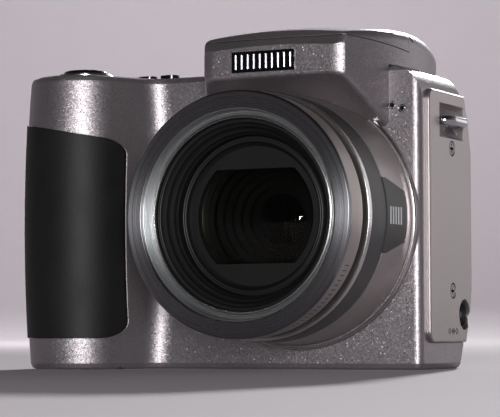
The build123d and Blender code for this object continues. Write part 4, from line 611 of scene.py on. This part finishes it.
# %% One screw
def screw_mesh(head=1.68, deep=0.7, shank=0.85, long=3.9, arm=1.05, slot=0.27, recess=0.5):
    """Screw with a cross recess; its axis is z and the top of the head is at zero. Sizes in millimetres."""
    made = bmesh.new()

    def loop(points, grow_by, height):
        return [made.verts.new((x * grow_by * MM, y * grow_by * MM, height * MM)) for x, y in points]

    def wall(upper, lower):
        for i, corner in enumerate(upper):
            after = (i + 1) % len(upper)
            made.faces.new((corner, upper[after], lower[after], lower[i]))

    disc = [(math.cos(math.pi * i / 16), math.sin(math.pi * i / 16)) for i in range(32)]
    cross = [(slot, arm), (slot, slot), (arm, slot), (arm, -slot), (slot, -slot), (slot, -arm),
             (-slot, -arm), (-slot, -slot), (-arm, -slot), (-arm, slot), (-slot, slot), (-slot, arm)]
    crown, rim = loop(disc, head - 0.2, -0.03), loop(disc, head, -0.2)
    under, neck, tip = loop(disc, head, -deep), loop(disc, shank, -deep), loop(disc, shank, -deep - long)
    mouth, bottom = loop(cross, 1.0, -0.03), loop(cross, 0.7, -recess)
    for upper, lower in ((crown, rim), (rim, under), (under, neck), (neck, tip), (mouth, bottom)):
        wall(upper, lower)
    made.faces.new(tip)
    made.faces.new(bottom)
    edges = [made.edges.get((ring[i], ring[(i + 1) % len(ring)])) for ring in (crown, mouth)
             for i in range(len(ring))]
    bmesh.ops.triangle_fill(made, use_beauty=True, edges=edges)
    bmesh.ops.recalc_face_normals(made, faces=made.faces)
    mesh = bpy.data.meshes.new("screw")
    made.to_mesh(mesh)
    made.free()
    return mesh


# %% Six screws
screw_row, given = new_tree("screw_row", [("Geometry", "Geometry"), ("Screw", "Object"),
                                          ("Material", "Material")])
facing = node(screw_row, "GeometryNodeInputNamedAttribute", {"Name": "way"}, data_type="FLOAT_VECTOR")
aimed = node(screw_row, "FunctionNodeAlignRotationToVector", {"Vector": facing.outputs[0]}, axis="Z")
shape = node(screw_row, "GeometryNodeObjectInfo", {"Object": given.outputs["Screw"]})
placed = node(screw_row, "GeometryNodeInstanceOnPoints", {"Points": given.outputs["Geometry"],
                                                          "Instance": shape.outputs["Geometry"],
                                                          "Rotation": aimed.outputs[0]})
close_tree(screw_row, given, placed.outputs[0])

screws_low, screws_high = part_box("case_screws")
side_places = [(screws_high[0], 1.2 * MM, height * MM) for height in (17.8, 50.4)]
base_places = [(x * MM, depth * MM + FRONT_PANEL_Y * MM, screws_low[2])
               for x, depth in ((24.0, 8.0), (-30.0, 6.0), (24.0, 26.0), (-36.0, 26.0))]
one_screw = bpy.data.objects.new("screw", screw_mesh())
bpy.context.scene.collection.objects.link(one_screw)
screws = grow("cross_screws", screw_row, {"Screw": one_screw}, shaded_chrome, "body",
              points=side_places + base_places, ways=[(1, 0, 0)] * 2 + [(0, 0, -1)] * 4)
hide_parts("case_screws")
bpy.data.objects.remove(one_screw)

# %% [markdown]
# ## Small rims, threads and ribs
# The microphone holes have a raised rim, the tripod socket a thread, and the flash window fine upright
# prisms that spread the light. All of them come from the two trees for rings and bars.

# %% Microphone rims and tripod thread
for number, (x, height) in enumerate(((23.0, 59.2), (25.4, 58.4)), 1):
    face = met_surface("front_shell", ((x + 0.9) * MM, -0.05, height * MM), (0, 1, 0))
    grow(f"mic_rim_{number}", ring_row, {
        "Count": 1, "First": (x * MM, face.y - 0.02 * MM, height * MM), "Radius": 0.80 * MM,
        "Bead": 0.14 * MM, "Turn": ROUND_Y, "Sides": 32}, chrome, "body")
grow("tripod_thread", ring_row, {"Count": 5, "First": (0.0, 0.0, 0.6 * MM), "Step": (0.0, 0.0, 0.95 * MM),
                                 "Radius": 2.62 * MM, "Bead": 0.24 * MM, "Sides": 48},
     steel, "body")

# %% Steel ends of the battery cells
cells_low, cells_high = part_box("battery_cells")
half_cell = (cells_high[0] - cells_low[0]) / 2
for number, y in enumerate((cells_low[1] + half_cell, cells_high[1] - half_cell), 1):
    grow(f"cell_end_{number}", ring_row, {
        "Count": 12, "First": (cells_low[0] + half_cell, y, cells_low[2]), "Radius": 0.4 * MM,
        "Growth": 0.5 * MM, "Bead": 0.25 * MM, "Sides": 32}, tin_plate, "body")

# %% Prisms of the flash window
SLANT = math.radians(30)
WINDOW_Y, WINDOW_HEIGHT = -23.129 * MM, 69.97 * MM
prism_count, prism_pitch = 14, 1.78 * MM
grow("flash_prisms", bar_fan, {"Count": prism_count, "Size": (0.4 * MM, 6.9 * MM, 0.12 * MM),
                               "Step": (prism_pitch, 0.0, 0.0), "Turn": (-SLANT, 0.0, 0.0),
                               "Centre": (-prism_pitch * (prism_count - 1) / 2, WINDOW_Y, WINDOW_HEIGHT)},
     shade_tinted_window_glass, "flash_head")

# %% [markdown]
# ## Signs beside the power jack and on the buttons
# A plain sign shows which pole of the plug is inside: three circles in a row joined by lines. The buttons
# carry simple shapes. Rings with three or four sides give triangles and squares.

# %% Bright rim of the jack
JACK_Y, JACK_HEIGHT = 8.5 * MM, 12.4 * MM
jack_face = met_surface("side_panel", (0.05, JACK_Y, JACK_HEIGHT + 3.4 * MM), (-1, 0, 0))
grow("jack_rim", ring_row, {"Count": 1, "First": (jack_face.x, JACK_Y, JACK_HEIGHT), "Radius": 3.05 * MM,
                            "Bead": 0.22 * MM, "Turn": ROUND_X, "Sides": 48}, chrome, "body")

# %% Pole sign
SIGN_Y, SIGN_STEP, SIGN_HEIGHT = -1.2 * MM, 2.3 * MM, 8.6 * MM
sign = met_surface("side_panel", (0.05, 1.0 * MM, SIGN_HEIGHT), (-1, 0, 0))
grow("pole_circles", ring_row, {"Count": 3, "First": (sign.x, SIGN_Y, SIGN_HEIGHT),
                                "Step": (0.0, SIGN_STEP, 0.0), "Radius": 0.62 * MM, "Bead": 0.09 * MM,
                                "Turn": ROUND_X, "Sides": 28}, dark_ink, "body")
grow("pole_lines", bar_fan, {"Count": 2, "Size": (0.10 * MM, 1.0 * MM, 0.16 * MM),
                             "Step": (0.0, SIGN_STEP, 0.0),
                             "Centre": (sign.x, SIGN_Y + SIGN_STEP / 2, SIGN_HEIGHT)},
     dark_ink, "body")
grow("pole_dot", ring_row, {"Count": 2, "First": (sign.x, SIGN_Y + SIGN_STEP, SIGN_HEIGHT),
                            "Radius": 0.12 * MM, "Growth": 0.1 * MM, "Bead": 0.08 * MM, "Turn": ROUND_X,
                            "Sides": 16}, dark_ink, "body")

# %% Shapes on the buttons
PROUD = 0.01 * MM
for button, sides, radius, ink in (("delete_button", 4, 0.95, dark_ink), ("menu_button", 24, 0.85, dark_ink),
                                   ("review_button", 3, 1.0, dark_ink), ("share_button", 24, 0.75, red_ink)):
    low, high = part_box(button)
    grow(button + "_shape", ring_row, {
        "Count": 1, "First": ((low[0] + high[0]) / 2, high[1] + PROUD, (low[2] + high[2]) / 2),
        "Radius": radius * MM, "Bead": 0.12 * MM, "Turn": ROUND_Y, "Sides": sides},
        ink, button)
for button, sides, radius in (("flash_button", 3, 0.7), ("focus_button", 24, 0.6), ("drive_button", 4, 0.7)):
    low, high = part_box(button)
    grow(button + "_shape", ring_row, {
        "Count": 1, "First": ((low[0] + high[0]) / 2, (low[1] + high[1]) / 2, high[2] + PROUD),
        "Radius": radius * MM, "Bead": 0.1 * MM, "Sides": sides}, pale_ink, button)

# %% [markdown]
# ## Floor and backdrop
# The camera stands on a pale sheet that sweeps up behind it, so that there is no horizon line.

# %% Sweep of paper
def sweep_sheet():
    """One sheet: flat floor in front, a wide bend, and an upright back."""
    start, bend = 1.3, 0.4
    profile = [(-1.6, 0.0), (start, 0.0)]
    for step in range(1, 13):
        turn = math.radians(90 * step / 12)
        profile.append((start + bend * math.sin(turn), bend - bend * math.cos(turn)))
    profile.append((start + bend, 1.4))
    mesh = bpy.data.meshes.new("paper_sweep")
    points = [(x, y, z) for y, z in profile for x in (-2.2, 2.2)]
    faces = [(2 * i, 2 * i + 1, 2 * i + 3, 2 * i + 2) for i in range(len(profile) - 1)]
    mesh.from_pydata(points, [], faces)
    for face in mesh.polygons:
        face.use_smooth = True
    sheet = bpy.data.objects.new("paper_sweep", mesh)
    bpy.context.scene.collection.objects.link(sheet)
    return sheet


paper, paper_tree, paper_shader, paper_place = new_material("matt paper")
fibres = node(paper_tree, "ShaderNodeTexNoise", {"Vector": paper_place, "Scale": 30, "Detail": 3.0})
shade = node(paper_tree, "ShaderNodeMix", {"Factor": fibres.outputs["Fac"], "A": linear("#b9b1b7"),
                                           "B": linear("#bdb5bb")}, data_type="RGBA")
paper_tree.links.new(shade.outputs["Result"], paper_shader.inputs["Base Color"])
paper_shader.inputs["Roughness"].default_value = 0.9
sweep = sweep_sheet()
sweep.data.materials.append(paper)
sweep.visible_shadow = False

# %% [markdown]
# ## Light
# The photograph was lit from close to the lens, with pale surroundings behind the camera body and a
# darker room in front. So a soft lamp and a small flash stand by the viewpoint, a low sun behind throws
# the shadow forwards, one lamp lights the backdrop and one the right side. The world is paler behind than
# in front, and dark overhead. The sheet throws no shadow, so the low sun passes its upright part.

# %% Lamps and world
def soft_lamp(name, place, target, size, power):
    """Square soft lamp at a place, turned to a target."""
    light = bpy.data.lights.new(name, "AREA")
    light.size = size
    light.energy = power
    lamp = bpy.data.objects.new(name, light)
    bpy.context.scene.collection.objects.link(lamp)
    lamp.location = place
    lamp.rotation_euler = (Vector(target) - Vector(place)).to_track_quat("-Z", "Y").to_euler()


middle = (-0.01, 0.0, 0.038)
soft_lamp("lamp_by_viewpoint", (0.62, -1.30, 0.14), middle, 0.40, 18.0)
soft_lamp("small_flash", (0.03, -0.55, 0.05), middle, 0.02, 0.2)
soft_lamp("lamp_for_backdrop", (-0.90, 0.50, 0.75), (-0.90, 1.70, 0.25), 0.6, 12.5)
soft_lamp("lamp_right", (0.45, 0.75, 0.22), middle, 0.5, 0.75)

low_sun = bpy.data.lights.new("low_sun_behind", "SUN")
low_sun.energy = 3.0
low_sun.angle = math.radians(4)
sun_lamp = bpy.data.objects.new("low_sun_behind", low_sun)
bpy.context.scene.collection.objects.link(sun_lamp)
sun_lamp.rotation_euler = Vector((0.20, -0.88, -0.37)).to_track_quat("-Z", "Y").to_euler()

world = bpy.data.worlds.new("room")
bpy.context.scene.world = world
world.use_nodes = True
room = world.node_tree
room.nodes.clear()
way = node(room, "ShaderNodeTexCoord").outputs["Generated"]
axes = node(room, "ShaderNodeSeparateXYZ", {"Vector": way})
behind = node(room, "ShaderNodeMapRange", {"Value": axes.outputs["Y"], "From Min": -0.6, "From Max": 0.6,
                                           "To Min": 0.045, "To Max": 0.36})
overhead = node(room, "ShaderNodeMapRange", {"Value": axes.outputs["Z"], "From Min": 0.15, "From Max": 0.75,
                                             "To Min": 1.0, "To Max": 0.15})
level = node(room, "ShaderNodeMath", {0: behind.outputs[0], 1: overhead.outputs[0]}, operation="MULTIPLY")
sky = node(room, "ShaderNodeBackground", {"Color": linear("#f4f0f3"), "Strength": level.outputs[0]})
node(room, "ShaderNodeOutputWorld", {"Surface": sky.outputs[0]})

# %% [markdown]
# ## Viewpoint
# The distance of 500 mm is chosen, not found. With it held, and with the overall width and height kept
# near assumed values, the direction, the place across the view and the focal length were fitted to the
# ring ellipses and the edges of the body in the photograph. The focal length is in pixels of its 500
# pixel width.

# %% Camera
looks = Vector((-0.4397, 0.8964, 0.0561)).normalized()
across = looks.cross(Vector((0, 0, 1))).normalized()
upward = across.cross(looks)
turn = Matrix((across, upward, -looks)).transposed().to_4x4()
view = bpy.data.cameras.new("viewpoint")
FOCAL_PIXELS, PICTURE_WIDTH = 2170.3, 500
view.sensor_width = 36.0
view.lens = FOCAL_PIXELS / PICTURE_WIDTH * view.sensor_width
view.clip_start = 0.01
viewpoint = bpy.data.objects.new("viewpoint", view)
bpy.context.scene.collection.objects.link(viewpoint)
viewpoint.matrix_world = (Matrix.Translation((0.2076, -0.4645, 0.0089)) @ turn
                          @ Matrix.Rotation(-0.003, 4, "Z"))
bpy.context.scene.camera = viewpoint

scene = bpy.context.scene
scene.view_settings.view_transform = "Standard"
